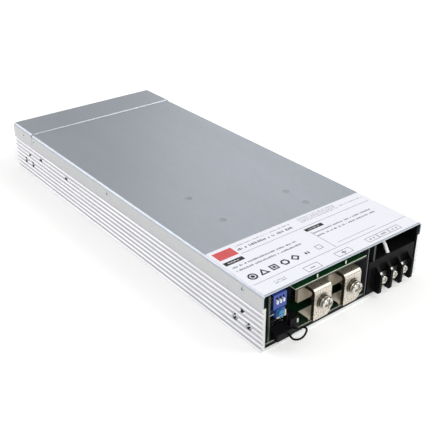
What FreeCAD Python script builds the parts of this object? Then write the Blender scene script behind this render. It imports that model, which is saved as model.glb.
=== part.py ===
import FreeCAD, Part
import Sketcher
import math
import os
import re

# A low-profile enclosed switching power supply, in millimetres.
# The frame: X across the case, Y from the terminal end (-Y) to the fan end (+Y), Z up.
# The origin is the middle of the case bottom.

SIZES = [
    # Case
    ("case_length", 336, "case, terminal end to fan end"),
    ("case_width", 142, "case across the ribbed walls"),
    ("case_height", 40.8, "case bottom to the top of the main cover"),
    ("base_thickness", 2, "floor of the extrusion"),
    ("wall_thickness", 2.8, "side wall of the extrusion, over the ribs"),
    ("sheet_thickness", 1, "folded cover sheet"),
    ("fold_radius", 2.6, "outer radius of the folds of the cover sheet"),
    ("flange_depth", 9.2, "how far the cover folds down over the walls"),
    ("lip_notch", 10, "front stretch where the wall stops below the cover flange"),
    ("lip_gap", 0.2, "top of the wall lips below the curve of the folds"),
    ("rib_pitch", 3.8, "rib to rib on the side walls"),
    ("groove_first", 1.45, "height of the lowest groove"),
    ("groove_count", 8, "grooves on each wall"),
    ("groove_mouth", 2.3, "groove width at the wall face"),
    ("groove_floor", 0.9, "groove width at its bottom"),
    ("groove_depth", 1, "depth of a groove"),
    ("bay_length", 34.5, "length of the fan bay under the rear cover"),
    ("cover_step", 0.8, "how much higher the rear cover stands"),
    ("seam_gap", 0.4, "gap between the two covers"),
    ("liner_thickness", 0.4, "black insulating liner"),
    ("liner_inset", 0.8, "liner end to the case end"),
    ("fit_gap", 0.1, "radial clearance of a screw in its hole"),
    # Cover screws and dimples
    ("cover_screw_radius", 1.4, "cover screw shank"),
    ("cover_head_radius", 2.7, "cover screw head"),
    ("cover_head_depth", 0.9, "depth of the countersunk head"),
    ("cover_screw_drop", 4.9, "cover screws below the top of the main cover"),
    ("cover_screw_front", 19, "first cover screw from the case front"),
    ("cover_screw_middle", 7.7, "second cover screw behind the case middle"),
    ("cover_screw_rear", 3.9, "third cover screw ahead of the fan bay"),
    ("cover_screw_bay", 15.8, "rear cover screw behind the bay front"),
    ("dimple_radius", 2.9, "round dimple in the main cover"),
    ("dimple_floor", 1.7, "flat at the bottom of a dimple"),
    ("dimple_depth", 0.6, "depth of a dimple"),
    ("dimple_left", 33, "left dimples from the middle"),
    ("dimple_right", 29, "right dimples from the middle"),
    ("dimple_first", 69, "right front dimple from the case front"),
    ("dimple_second", 85, "left front dimple from the case front"),
    ("dimple_third", 90, "right rear dimple from the case front"),
    ("dimple_fourth", 125, "left rear dimple from the case front"),
    # Side wall screws and mounting holes
    ("bracket_screw_radius", 1.4, "recessed bracket screw shank"),
    ("bracket_head_radius", 2.0, "recessed bracket screw head"),
    ("bracket_head_height", 1.2, "recessed bracket screw head, along its axis"),
    ("bracket_recess_radius", 2.75, "counterbore round a bracket screw"),
    ("bracket_recess_depth", 1.6, "depth of that counterbore"),
    ("bracket_height", 12.85, "bracket screws above the case bottom"),
    ("bracket_front", 12, "first bracket screw from the case front"),
    ("bracket_rear", 18, "last bracket screw from the case back"),
    ("bracket_spacing", 13.3, "between the two screws of a bracket"),
    ("nut_plate_thickness", 1.5, "nut plate inside the wall"),
    ("nut_plate_margin", 3.6, "nut plate past its screws"),
    ("heat_screw_radius", 1.4, "dark heat spreader screw shank"),
    ("heat_head_radius", 2.1, "dark heat spreader screw head"),
    ("heat_head_height", 1.1, "dark heat spreader screw head, along its axis"),
    ("heat_recess_radius", 2.3, "recess round that head"),
    ("heat_recess_depth", 1.3, "depth of that recess"),
    ("heat_screw_height", 22.4, "heat spreader screws above the case bottom"),
    ("heat_screw_rear", 14.4, "rear heat spreader screw ahead of the fan bay"),
    ("heat_screw_spacing", 45.2, "between heat spreader screws"),
    ("mount_hole_radius", 1.65, "tapped mounting hole"),
    ("side_mount_front", 18.8, "front side mounting hole from the case front"),
    ("side_mount_rear", 26.4, "rear side mounting hole from the case back"),
    ("side_mount_height", 20.45, "side mounting holes above the case bottom"),
    ("base_mount_x", 100, "bottom mounting holes, across"),
    ("base_mount_y", 240, "bottom mounting holes, along"),
    # Label
    ("label_thickness", 0.12, "printed label"),
    ("label_length", 56, "label along the case"),
    ("label_margin", 0.4, "label to the folds of the cover"),
    ("label_inset", 0.9, "label to the cover's front edge"),
    # Rear panel and fans
    ("panel_thickness", 1.2, "rear panel"),
    ("fan_depth", 28, "fan along its axis"),
    ("fan_clearance", 0.6, "fan frame to the case floor and the rear cover"),
    ("fan_inset", 34.2, "fan axis from the inner face of the side wall"),
    ("fan_rim", 1.2, "thinnest wall of the square fan frame"),
    ("fan_hole_inset", 3, "fan corner holes from the frame's sides"),
    ("fan_hole_radius", 1.6, "fan corner hole"),
    ("fan_screw_radius", 1.45, "fan screw shank"),
    ("fan_screw_head_radius", 2.6, "fan screw head"),
    ("fan_screw_head_height", 1.7, "fan screw head, along its axis"),
    ("fan_screw_length", 8, "fan screw shank length"),
    ("strut_width", 2.2, "strut that carries the fan motor"),
    ("strut_depth", 3.6, "strut along the fan axis"),
    ("hub_radius", 9, "rotor hub and motor base"),
    ("hub_wall", 1.2, "wall of the rotor cup"),
    ("hub_front", 1.5, "rotor cup behind the fan's intake face"),
    ("hub_face", 1.8, "closed face of the rotor cup"),
    ("hub_length", 20, "rotor cup along its axis"),
    ("bearing_radius", 3.6, "bearing tube"),
    ("bearing_gap", 1.2, "bearing tube behind the cup's closed face"),
    ("shaft_radius", 1.5, "rotor shaft"),
    ("shaft_clearance", 0.05, "radial running clearance of the shaft"),
    ("shaft_end", 3, "shaft tip ahead of the fan's exhaust face"),
    ("blade_count", 7, "rotor blades"),
    ("blade_thickness", 1, "blade"),
    ("blade_root", 9, "blade width round the hub"),
    ("blade_tip", 15, "blade width round the duct"),
    ("blade_front", 3, "blade leading edge behind the intake face"),
    ("blade_length", 16, "blade along the axis"),
    ("blade_gap", 0.5, "blade tip to duct"),
    ("guard_rings", 3, "rings of guard slots"),
    ("guard_first", 4.5, "inner radius of the first guard slot"),
    ("guard_pitch", 4.5, "guard slot to guard slot"),
    ("guard_slot", 3.3, "width of a guard slot"),
    ("guard_spoke", 2.4, "spoke between guard slots"),
    # Boards
    ("board_thickness", 1.6, "circuit board"),
    ("spacer_height", 1, "main board above the case floor"),
    ("spacer_radius", 3, "spacer under the main board"),
    ("board_inset", 0.7, "board front edges behind the case front"),
    ("board_margin", 0.8, "main board to the liner"),
    ("board_screw_radius", 1.45, "board screw shank"),
    ("board_head_radius", 2.6, "board screw head"),
    ("board_head_height", 1.8, "board screw head, along its axis"),
    ("board_screw_inset", 14.8, "board screws from the lined walls"),
    ("board_screw_front", 59, "front board screws from the case front"),
    ("board_screw_rear", 24.5, "rear board screws ahead of the fan bay"),
    ("ac_bay_depth", 18, "front bay of the terminal block"),
    ("output_board_drop", 6.8, "underside of the output board below the cover"),
    ("output_board_gap", 6.7, "output board to the slide switch"),
    ("output_board_right", 17.8, "output board right of the middle"),
    ("output_board_length", 70, "output board along the case"),
    ("post_radius", 2.4, "post under the output board"),
    ("post_inset", 5, "posts from the output board's edges"),
    ("post_front", 20, "front post from the output board's front edge"),
    ("control_board_gap", 1.9, "control board to the lined wall"),
    ("control_board_length", 42, "control board along the case"),
    ("control_board_drop", 1.8, "control board below the cover"),
    # Switch, trimmer and signal connectors
    ("dip_gap", 2.8, "switch body to the control board"),
    ("dip_width", 10.3, "switch body across"),
    ("dip_drop", 3.2, "top of the switch body below the cover"),
    ("dip_height", 10.2, "switch body height"),
    ("dip_depth", 8, "switch body along the case"),
    ("dip_inset", 1, "switch face behind the case front"),
    ("lever_pitch", 2.54, "switch lever to switch lever"),
    ("lever_width", 1.1, "switch lever across"),
    ("lever_height", 2.2, "switch lever height"),
    ("lever_proud", 1, "switch lever in front of the switch face"),
    ("lever_travel", 2, "switch lever stroke"),
    ("lever_gap", 0.2, "clearance round a switch lever"),
    ("lever_slot_depth", 3, "slot behind the switch face"),
    ("lever_drop", 4.1, "lever below the top of the switch"),
    ("pin_size", 0.6, "component pin"),
    ("trimmer_reach", 5.5, "trimmer to the control board"),
    ("trimmer_size", 6.6, "square trimmer body"),
    ("trimmer_depth", 6, "trimmer along the case"),
    ("trimmer_drop", 0.9, "trimmer below the switch"),
    ("trimmer_rotor_radius", 2.3, "trimmer rotor"),
    ("trimmer_rotor_depth", 1.1, "trimmer rotor in front of its body"),
    ("trimmer_shaft_radius", 0.9, "trimmer rotor shaft"),
    ("trimmer_shaft_length", 3, "trimmer rotor shaft length"),
    ("trimmer_gap", 0.2, "rotor clear of the trimmer face"),
    ("header_gap", 1.3, "connector stack to the control board"),
    ("header_width", 14.8, "connector stack across"),
    ("header_drop", 0.4, "connector stack below the trimmer"),
    ("header_depth", 11, "connector stack along the case"),
    ("header_inset", 2, "connector face behind the case front"),
    ("header_wall", 1.2, "connector shroud"),
    ("cavity_depth", 8, "connector cavity"),
    ("pin_pitch", 2, "connector pin to connector pin"),
    ("plug_gap", 0.1, "plug in its cavity, each side"),
    ("plug_proud", 4, "plug in front of the case"),
    ("socket_gap", 0.2, "link socket to the connector stack"),
    ("socket_width", 6.8, "link socket across"),
    ("socket_height", 9.4, "link socket height"),
    ("socket_depth", 9, "link socket along the case"),
    ("socket_proud", 0.2, "link socket in front of the case"),
    ("led_width", 1.6, "status window across"),
    ("led_height", 3.4, "status window height"),
    ("led_depth", 0.6, "status window in front of the socket"),
    ("led_margin", 0.5, "status window to the socket's right and top faces"),
    ("wire_radius", 0.65, "jumper wire"),
    # DC terminals
    ("dc_pitch", 26.7, "terminal to terminal"),
    ("dc_middle", 8.4, "middle of the terminal pair, left of the case middle"),
    ("dc_width", 14.7, "terminal bar across"),
    ("dc_thickness", 2.5, "terminal bar"),
    ("dc_top", 27.6, "top of the terminal bars"),
    ("dc_proud", 1, "terminal face in front of the case"),
    ("dc_reach", 12, "terminal bar along the case"),
    ("dc_bend", 3.2, "outer radius of the bar's top bend"),
    ("dc_corner", 2.6, "cut lower corners of the terminal face"),
    ("foot_thickness", 1.5, "terminal foot on the main board"),
    ("foot_extra", 1.9, "foot wider than the bar, on its left"),
    ("bus_thickness", 2.4, "upright bus bar"),
    ("bus_bottom", 13, "lower edge of the bus bars"),
    ("bus_extra", 2.6, "bus bar wider than the terminal, each side"),
    ("dc_screw_height", 17.4, "terminal screws above the case bottom"),
    ("dc_screw_radius", 2.4, "terminal screw shank"),
    ("dc_head_radius", 4.5, "terminal screw head"),
    ("dc_head_height", 3.3, "terminal screw head, along its axis"),
    ("dc_screw_length", 11, "terminal screw shank length"),
    ("dc_hole_gap", 0.2, "terminal screw in its plain holes"),
    ("thread_gap", 0.05, "screw in its thread"),
    ("flat_washer_radius", 5.4, "flat washer"),
    ("flat_washer_thickness", 1, "flat washer"),
    ("spring_washer_radius", 4.5, "spring washer"),
    ("spring_washer_thickness", 1.3, "spring washer"),
    ("spring_washer_split", 0.8, "split of the spring washer"),
    ("dc_nut_size", 8, "clinch nut across its flats"),
    ("dc_nut_height", 4, "clinch nut, along its axis"),
    # AC side
    ("partition_x", 18.6, "left face of the partition"),
    ("partition_thickness", 0.8, "partition sheet"),
    ("block_clearance", 1.4, "terminal block to the partition"),
    ("block_gap", 0.3, "terminal block to the nut plate beside it"),
    ("block_top", 27.6, "top of the terminal block"),
    ("block_depth", 14, "terminal block body along the case"),
    ("barrier_right", 4.75, "last barrier to the right face of the block"),
    ("barrier_pitch", 10.45, "barrier to barrier"),
    ("barrier_count", 4, "barriers"),
    ("barrier_thickness", 2, "barrier"),
    ("barrier_proud", 5, "barriers in front of the case"),
    ("barrier_top", 17.4, "front corner of a barrier"),
    ("barrier_slope", 4.5, "rise of a barrier behind its front corner"),
    ("barrier_chamfer", 0.9, "cut lower corner of a barrier"),
    ("contact_thickness", 1, "contact strip in a terminal slot"),
    ("contact_margin", 0.3, "contact strip and clamp to the barriers"),
    ("contact_top", 16, "top of the contact strips above the case bottom"),
    ("ac_screw_height", 10.7, "block screws above the case bottom"),
    ("ac_screw_radius", 1.7, "block screw shank"),
    ("ac_head_radius", 3, "block screw head"),
    ("ac_head_height", 2.1, "block screw head, along its axis"),
    ("ac_screw_length", 9, "block screw shank length"),
    ("clamp_thickness", 0.9, "square clamp plate"),
    ("clamp_height", 6.8, "square clamp plate"),
    ("lead_radius", 1.2, "pale lead over the block"),
    ("inlet_board_gap", 3.4, "inlet board from the left face of the block"),
    # Converter parts on the main board
    ("spreader_thickness", 4, "heat spreader bar"),
    ("spreader_margin", 12, "heat spreader past its screws"),
    ("spreader_drop", 3.8, "heat spreaders below the cover"),
    ("transistor_width", 15.6, "transistor along the case"),
    ("transistor_height", 20, "transistor body"),
    ("transistor_thickness", 5, "transistor body"),
    ("transistor_count", 3, "transistors on each spreader"),
    ("bulk_radius", 15, "bulk capacitor"),
    ("bulk_pitch", 31.5, "bulk capacitor to bulk capacitor"),
    ("bulk_rear", 92, "bulk capacitors ahead of the fan bay"),
    ("bulk_drop", 1.7, "bulk capacitors below the cover"),
    ("core_width", 40, "transformer core across"),
    ("core_length", 34, "transformer core along the case"),
    ("core_height", 30, "transformer core"),
    ("core_leg", 8, "outer legs of the core"),
    ("winding_bulge", 5, "winding past the core, front and back"),
    ("transformer_x", 22, "transformer middles from the case middle"),
    ("transformer_y", 20, "transformers ahead of the case middle"),
    ("choke_radius", 17, "choke ring"),
    ("choke_hole", 8, "hole of a choke ring"),
    ("choke_height", 22, "choke ring"),
    ("choke_gap", 22.8, "line filter choke middles to the lined wall"),
    ("choke_front", 40, "first line filter choke from the case front"),
    ("choke_pitch", 38, "line filter choke to line filter choke"),
    ("choke_rear", 33, "power-factor choke ahead of the fan bay"),
    ("can_radius", 6.2, "output capacitor"),
    ("can_drop", 3.4, "output capacitor tops below the output board"),
    ("can_pitch", 14, "output capacitor to output capacitor"),
    ("can_front", 32, "first output capacitors from the case front"),
    ("can_inset", 10.5, "first output capacitors from the output board's left edge"),
]

doc = FreeCAD.newDocument("power_supply")
sheet = doc.addObject("Spreadsheet::Sheet", "Sizes")
for row, (name, number, meaning) in enumerate(SIZES, start=1):
    sheet.set(f"A{row}", meaning)
    sheet.set(f"B{row}", str(number))
    sheet.setAlias(f"B{row}", name)
doc.recompute()

SIZE_NAME = re.compile(r"\b(" + "|".join(name for name, number, meaning in SIZES) + r")\b")
AXES = "xyz"
TURNS = {
    "X": FreeCAD.Rotation(FreeCAD.Vector(0, 1, 0), 90),
    "-X": FreeCAD.Rotation(FreeCAD.Vector(0, 1, 0), -90),
    "Y": FreeCAD.Rotation(FreeCAD.Vector(1, 0, 0), -90),
    "-Y": FreeCAD.Rotation(FreeCAD.Vector(1, 0, 0), 90),
    "Z": FreeCAD.Rotation(),
}
LEFT_AND_RIGHT = ((-1, "X"), (1, "-X"))

# Faces that many pieces share, as expressions of the sizes
FRONT = "(-case_length / 2)"
BACK = "(case_length / 2)"
SIDE = "(case_width / 2)"
INNER = "(case_width / 2 - wall_thickness)"
LINED = "(case_width / 2 - wall_thickness - liner_thickness)"
FLOOR = "(base_thickness + liner_thickness)"
ROOF = "(case_height - sheet_thickness)"
FLANGE_END = "(case_height - flange_depth)"
BAY = "(case_length / 2 - bay_length)"
BAY_ROOF = "(case_height + cover_step - sheet_thickness)"
BOARD = "(base_thickness + spacer_height)"
BOARD_TOP = "(base_thickness + spacer_height + board_thickness)"
PANEL = "(case_length / 2 - panel_thickness)"

finished = {}


def linked(text):
    """Bare size names become references to the sheet."""
    return SIZE_NAME.sub(lambda hit: "Sizes." + hit.group(0), text)


def value(text):
    """The number that an expression of the sizes gives."""
    return float(sheet.evalExpression(linked(text)))


def bind(thing, **expressions):
    """Tie properties of a document object to the sizes."""
    for name, text in expressions.items():
        thing.setExpression(name, linked(text))


def place(thing, at):
    """Tie the base point of a document object to the sizes."""
    for axis, text in zip(AXES, at):
        thing.setExpression(f"Placement.Base.{axis}", linked(text))


def around(middle, size):
    """Low and high faces of a span about its middle."""
    return f"({middle}) - ({size}) / 2", f"({middle}) + ({size}) / 2"


def mirrored(corners):
    """The corners of a right half, for the left half, in going-round order."""
    return [(f"-({across})", up) for across, up in reversed(corners)]


def on_side(way, near, far):
    """Low and high faces of a span between two distances out to the left (-1) or the right (1)."""
    return (near, far) if way > 0 else (f"-({far})", f"-({near})")


def finish(label, thing):
    """Name a sub-part and keep it for export."""
    thing.Label = label
    finished[label] = thing


def block(across, along, upright):
    """A box from its low and high faces on X, Y and Z."""
    box = doc.addObject("Part::Box", "Block")
    lows = [span[0] for span in (across, along, upright)]
    sizes = [f"({span[1]}) - ({span[0]})" for span in (across, along, upright)]
    bind(box, Length=sizes[0], Width=sizes[1], Height=sizes[2])
    place(box, lows)
    return box


def rod(axis, at, radius, length):
    """A cylinder from a point along an axis."""
    cylinder = doc.addObject("Part::Cylinder", "Rod")
    cylinder.Placement = FreeCAD.Placement(FreeCAD.Vector(), TURNS[axis])
    bind(cylinder, Radius=radius, Height=length)
    place(cylinder, at)
    return cylinder


def cone(axis, at, radius, end_radius, length):
    """A cone frustum from a point along an axis."""
    frustum = doc.addObject("Part::Cone", "Cone")
    frustum.Placement = FreeCAD.Placement(FreeCAD.Vector(), TURNS[axis])
    bind(frustum, Radius1=radius, Radius2=end_radius, Height=length)
    place(frustum, at)
    return frustum


def group(pieces):
    """Several separate solids as one object."""
    compound = doc.addObject("Part::Compound", "Group")
    compound.Links = pieces
    return compound


def fuse(*pieces):
    """Solids joined to one."""
    union = doc.addObject("Part::MultiFuse", "Fuse")
    union.Shapes = list(pieces)
    union.Refine = True
    return union


def cut(base, *tools):
    """A solid with the tools taken away."""
    difference = doc.addObject("Part::Cut", "Cut")
    difference.Base = base
    difference.Tool = tools[0] if len(tools) == 1 else group(list(tools))
    difference.Refine = True
    return difference


def ring(axis, at, radius, hole, length):
    """A flat ring or tube."""
    return cut(rod(axis, at, radius, length), rod(axis, at, hole, length))


def rounded(base, radius, *middles):
    """A fillet on each straight edge whose middle is at one of the points."""
    doc.recompute()
    size = value(radius)
    picked = []
    for middle in middles:
        distances = [(edge.CenterOfMass - middle).Length for edge in base.Shape.Edges]
        picked.append((distances.index(min(distances)) + 1, size, size))
    fillet = doc.addObject("Part::Fillet", "Fillet")
    fillet.Base = base
    fillet.Edges = picked
    return fillet


def new_body(label):
    """A PartDesign body that becomes a sub-part."""
    body = doc.addObject("PartDesign::Body", "Body")
    finish(label, body)
    return body


def origin(body, role):
    """A plane or axis of a body's own origin."""
    return [feature for feature in body.Origin.OriginFeatures if feature.Role == role][0]


def sketch(body, plane, at="0"):
    """A sketch on the XY, XZ or YZ plane, moved to a place along the plane's axis."""
    drawing = body.newObject("Sketcher::SketchObject", "Sketch")
    drawing.AttachmentSupport = [(origin(body, plane + "_Plane"), "")]
    drawing.MapMode = "FlatFace"
    sign = "-" if plane == "XZ" else ""
    drawing.setExpression("AttachmentOffset.Base.z", linked(f"{sign}({at})"))
    return drawing


def pin_point(drawing, geometry, point, at):
    """Dimensions from the sketch origin to a point of its geometry."""
    for direction, text in zip(("DistanceX", "DistanceY"), at):
        rule = Sketcher.Constraint(direction, -1, 1, geometry, point, value(text))
        number = drawing.addConstraint(rule)
        drawing.setExpression(f"Constraints[{number}]", linked(text))


def outline(drawing, corners):
    """A closed outline of straight lines, each corner dimensioned."""
    first = drawing.GeometryCount
    count = len(corners)
    points = [FreeCAD.Vector(value(across), value(up), 0) for across, up in corners]
    for index in range(count):
        drawing.addGeometry(Part.LineSegment(points[index], points[(index + 1) % count]))
    for index in range(count):
        following = first + (index + 1) % count
        drawing.addConstraint(Sketcher.Constraint("Coincident", first + index, 2, following, 1))
    for index, corner in enumerate(corners):
        pin_point(drawing, first + index, 1, corner)


def rectangle(drawing, across, up):
    """A dimensioned rectangle from its low and high sides."""
    outline(drawing, [(across[0], up[0]), (across[1], up[0]), (across[1], up[1]), (across[0], up[1])])


def circle(drawing, centre, radius):
    """A dimensioned circle."""
    middle = FreeCAD.Vector(value(centre[0]), value(centre[1]), 0)
    number = drawing.addGeometry(Part.Circle(middle, FreeCAD.Vector(0, 0, 1), value(radius)))
    pin_point(drawing, number, 3, centre)
    rule = drawing.addConstraint(Sketcher.Constraint("Radius", number, value(radius)))
    drawing.setExpression(f"Constraints[{rule}]", linked(radius))


def pad(body, drawing, length):
    """Material from a sketch towards the positive end of its axis."""
    feature = body.newObject("PartDesign::Pad", "Pad")
    feature.Profile = drawing
    feature.Reversed = drawing.AttachmentSupport[0][0].Role == "XZ_Plane"
    bind(feature, Length=length)
    return feature


def through(body, drawing):
    """A cut through everything, both ways from the sketch."""
    feature = body.newObject("PartDesign::Pocket", "Pocket")
    feature.Profile = drawing
    feature.Type = "ThroughAll"
    feature.Midplane = True
    return feature


def pocket(body, drawing, depth, way):
    """A cut of one depth, towards the positive (1) or negative (-1) end of the sketch's axis."""
    feature = body.newObject("PartDesign::Pocket", "Pocket")
    feature.Profile = drawing
    facing_back = drawing.AttachmentSupport[0][0].Role == "XZ_Plane"
    feature.Reversed = (way > 0) != facing_back
    bind(feature, Length=depth)
    return feature


def row(body, feature, axis, length, count):
    """A row of copies of a feature along an axis of the body."""
    pattern = body.newObject("PartDesign::LinearPattern", "Row")
    pattern.Originals = [feature]
    pattern.Direction = (origin(body, axis + "_Axis"), [""])
    bind(pattern, Length=length, Occurrences=count)
    body.Tip = pattern


# Places of the screws and holes in the side walls, as (along, up), and in the floor, as (across, along)
COVER_SCREWS = [
    (f"{FRONT} + cover_screw_front", "case_height - cover_screw_drop"),
    ("cover_screw_middle", "case_height - cover_screw_drop"),
    (f"{BAY} - cover_screw_rear", "case_height - cover_screw_drop"),
]
BAY_SCREWS = [(f"{BAY} + cover_screw_bay", "case_height - cover_screw_drop")]
FRONT_BRACKET = [
    (f"{FRONT} + bracket_front", "bracket_height"),
    (f"{FRONT} + bracket_front + bracket_spacing", "bracket_height"),
]
REAR_BRACKET = [
    (f"{BACK} - bracket_rear - bracket_spacing", "bracket_height"),
    (f"{BACK} - bracket_rear", "bracket_height"),
]
HEAT_SCREWS = [
    (f"{BAY} - heat_screw_rear - heat_screw_spacing", "heat_screw_height"),
    (f"{BAY} - heat_screw_rear", "heat_screw_height"),
]
SIDE_MOUNTS = [
    (f"{FRONT} + side_mount_front", "side_mount_height"),
    (f"{BACK} - side_mount_rear", "side_mount_height"),
]
BASE_MOUNTS = [(f"{x} * base_mount_x / 2", f"{y} * base_mount_y / 2") for x in (-1, 1) for y in (-1, 1)]
BOARD_SCREWS = [
    (f"{x} * ({LINED} - board_screw_inset)", along)
    for x in (-1, 1)
    for along in (f"{FRONT} + board_screw_front", "0", f"{BAY} - board_screw_rear")
]


def make_chassis():
    """The extrusion: floor, ribbed walls, the lips behind the cover flanges, and its holes."""
    body = new_body("chassis")
    lip = f"({SIDE} - sheet_thickness)"
    top = "(case_height - fold_radius - lip_gap)"
    right = [(SIDE, FLANGE_END), (lip, FLANGE_END), (lip, top), (INNER, top), (INNER, "base_thickness")]
    profile = sketch(body, "XZ", FRONT)
    outline(profile, [(f"-{SIDE}", "0"), (SIDE, "0")] + right + mirrored(right))
    pad(body, profile, "case_length")

    grooves = sketch(body, "XZ", FRONT)
    floor = f"({SIDE} - groove_depth)"
    outside = f"({SIDE} + groove_depth)"
    low, high = around("groove_first", "groove_mouth")
    floor_low, floor_high = around("groove_first", "groove_floor")
    section = [(outside, low), (SIDE, low), (floor, floor_low), (floor, floor_high), (SIDE, high), (outside, high)]
    outline(grooves, section)
    outline(grooves, mirrored(section))
    groove = through(body, grooves)
    row(body, groove, "Z", "rib_pitch * (groove_count - 1)", "groove_count")

    notch = sketch(body, "YZ")
    rectangle(notch, (f"{FRONT} - lip_notch", f"{FRONT} + lip_notch"), (FLANGE_END, "case_height"))
    through(body, notch)

    holes = sketch(body, "YZ")
    for places, radius in (
        (COVER_SCREWS + BAY_SCREWS, "cover_screw_radius + fit_gap"),
        (FRONT_BRACKET + REAR_BRACKET, "bracket_screw_radius + fit_gap"),
        (HEAT_SCREWS, "heat_screw_radius + fit_gap"),
        (SIDE_MOUNTS, "mount_hole_radius"),
    ):
        for centre in places:
            circle(holes, centre, radius)
    through(body, holes)

    for way in (-1, 1):
        for places, radius, depth in (
            (FRONT_BRACKET + REAR_BRACKET, "bracket_recess_radius", "bracket_recess_depth"),
            (HEAT_SCREWS, "heat_recess_radius", "heat_recess_depth"),
        ):
            recess = sketch(body, "YZ", f"{way} * {SIDE}")
            for centre in places:
                circle(recess, centre, radius)
            pocket(body, recess, depth, -way)

    floor_holes = sketch(body, "XY")
    for centre in BASE_MOUNTS:
        circle(floor_holes, centre, "mount_hole_radius")
    for centre in BOARD_SCREWS:
        circle(floor_holes, centre, "board_screw_radius + fit_gap")
    through(body, floor_holes)


def countersunk(way, axis, centre, grow):
    """A countersunk screw in a cover flange; grow widens it into its hole."""
    at = (f"{way} * {SIDE}", centre[0], centre[1])
    shank = f"cover_screw_radius + {grow}"
    head = cone(axis, at, f"cover_head_radius + {grow}", shank, "cover_head_depth")
    return fuse(head, rod(axis, at, shank, "wall_thickness - fit_gap"))


def countersunk_both(places, grow):
    """The same countersunk screws, or their holes, in both flanges."""
    return [countersunk(way, axis, centre, grow) for way, axis in LEFT_AND_RIGHT for centre in places]


def folded_sheet(along, top, openings):
    """A cover folded from one sheet, a flat top and a flange down each side, with its openings."""
    body = doc.addObject("PartDesign::Body", "Body")
    profile = sketch(body, "XZ", along[0])
    inside = f"({SIDE} - sheet_thickness)"
    under = f"{top} - sheet_thickness"
    right = [(SIDE, top), (SIDE, FLANGE_END), (inside, FLANGE_END), (inside, under)]
    outline(profile, right + mirrored(right))
    pad(body, profile, f"({along[1]}) - ({along[0]})")
    middle = value(f"(({along[0]}) + ({along[1]})) / 2")
    folded = body
    for radius, side, height in (("fold_radius", SIDE, top), ("fold_radius - sheet_thickness", inside, under)):
        folds = [FreeCAD.Vector(way * value(side), middle, value(height)) for way in (-1, 1)]
        folded = rounded(folded, radius, *folds)
    return cut(folded, *openings)


def make_covers():
    """The main cover with its dimples and label, the rear cover, and the screws of both."""
    holes = countersunk_both(COVER_SCREWS, "fit_gap")
    for across, along in (
        ("dimple_right", "dimple_first"),
        ("-dimple_left", "dimple_second"),
        ("dimple_right", "dimple_third"),
        ("-dimple_left", "dimple_fourth"),
    ):
        at = (across, f"{FRONT} + {along}", "case_height - dimple_depth")
        holes.append(cone("Z", at, "dimple_floor", "dimple_radius", "dimple_depth"))
    finish("top_cover", folded_sheet((FRONT, f"{BAY} - seam_gap"), "case_height", holes))
    bay_holes = countersunk_both(BAY_SCREWS, "fit_gap")
    finish("fan_cover", folded_sheet((BAY, BACK), "(case_height + cover_step)", bay_holes))
    finish("cover_screws", group(countersunk_both(COVER_SCREWS + BAY_SCREWS, "0")))

    across = around("0", "case_width - 2 * (fold_radius + label_margin)")
    along = (f"{FRONT} + label_inset", f"{FRONT} + label_inset + label_length")
    finish("rating_label", block(across, along, ("case_height", "case_height + label_thickness")))


def wall_screw(way, axis, centre, seat_depth, head, shank):
    """A screw seated in a recess of a side wall; head and shank are (radius, length)."""
    seat = f"{way} * ({SIDE} - {seat_depth})"
    outer = f"{way} * ({SIDE} - {seat_depth} + {head[1]})"
    cap = rod(axis, (outer, *centre), *head)
    return fuse(cap, rod(axis, (seat, *centre), *shank))


def make_wall_screws():
    """The recessed screws of the side walls and the nut plates that they pull in."""
    bracket_screws = []
    heat_screws = []
    nut_plates = []
    bracket_head = ("bracket_head_radius", "bracket_head_height")
    reach = "liner_thickness + nut_plate_thickness"
    bracket_shank = ("bracket_screw_radius", f"wall_thickness - bracket_recess_depth + {reach}")
    heat_head = ("heat_head_radius", "heat_head_height")
    reach = "liner_thickness + spreader_thickness"
    heat_shank = ("heat_screw_radius", f"wall_thickness - heat_recess_depth + {reach}")
    for way, axis in LEFT_AND_RIGHT:
        for centre in FRONT_BRACKET + REAR_BRACKET:
            screw = wall_screw(way, axis, centre, "bracket_recess_depth", bracket_head, bracket_shank)
            bracket_screws.append(screw)
        for centre in HEAT_SCREWS:
            heat_screws.append(wall_screw(way, axis, centre, "heat_recess_depth", heat_head, heat_shank))
        for places, wall in ((FRONT_BRACKET, LINED), (REAR_BRACKET, INNER)):
            across = on_side(way, f"{wall} - nut_plate_thickness", wall)
            along = (f"{places[0][0]} - nut_plate_margin", f"{places[1][0]} + nut_plate_margin")
            plate = block(across, along, around("bracket_height", "2 * nut_plate_margin"))
            holes = [
                rod("X", (across[0], *centre), "bracket_screw_radius + fit_gap", "nut_plate_thickness")
                for centre in places
            ]
            nut_plates.append(cut(plate, *holes))
    finish("bracket_screws", group(bracket_screws))
    finish("heatsink_screws", group(heat_screws))
    finish("nut_plates", group(nut_plates))


def make_liner():
    """The black insulating sheet, folded to a trough, with holes for what passes through it."""
    body = new_body("insulation_liner")
    profile = sketch(body, "XZ", f"{FRONT} + liner_inset")
    right = [(INNER, "base_thickness"), (INNER, ROOF), (LINED, ROOF), (LINED, FLOOR)]
    outline(profile, right + mirrored(right))
    pad(body, profile, "case_length - bay_length - 2 * liner_inset")
    side_holes = sketch(body, "YZ")
    for centre in FRONT_BRACKET:
        circle(side_holes, centre, "bracket_head_radius")
    for centre in HEAT_SCREWS:
        circle(side_holes, centre, "heat_head_radius")
    through(body, side_holes)
    floor_holes = sketch(body, "XY")
    for centre in BOARD_SCREWS:
        circle(floor_holes, centre, "spacer_radius + fit_gap")
    through(body, floor_holes)


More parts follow.
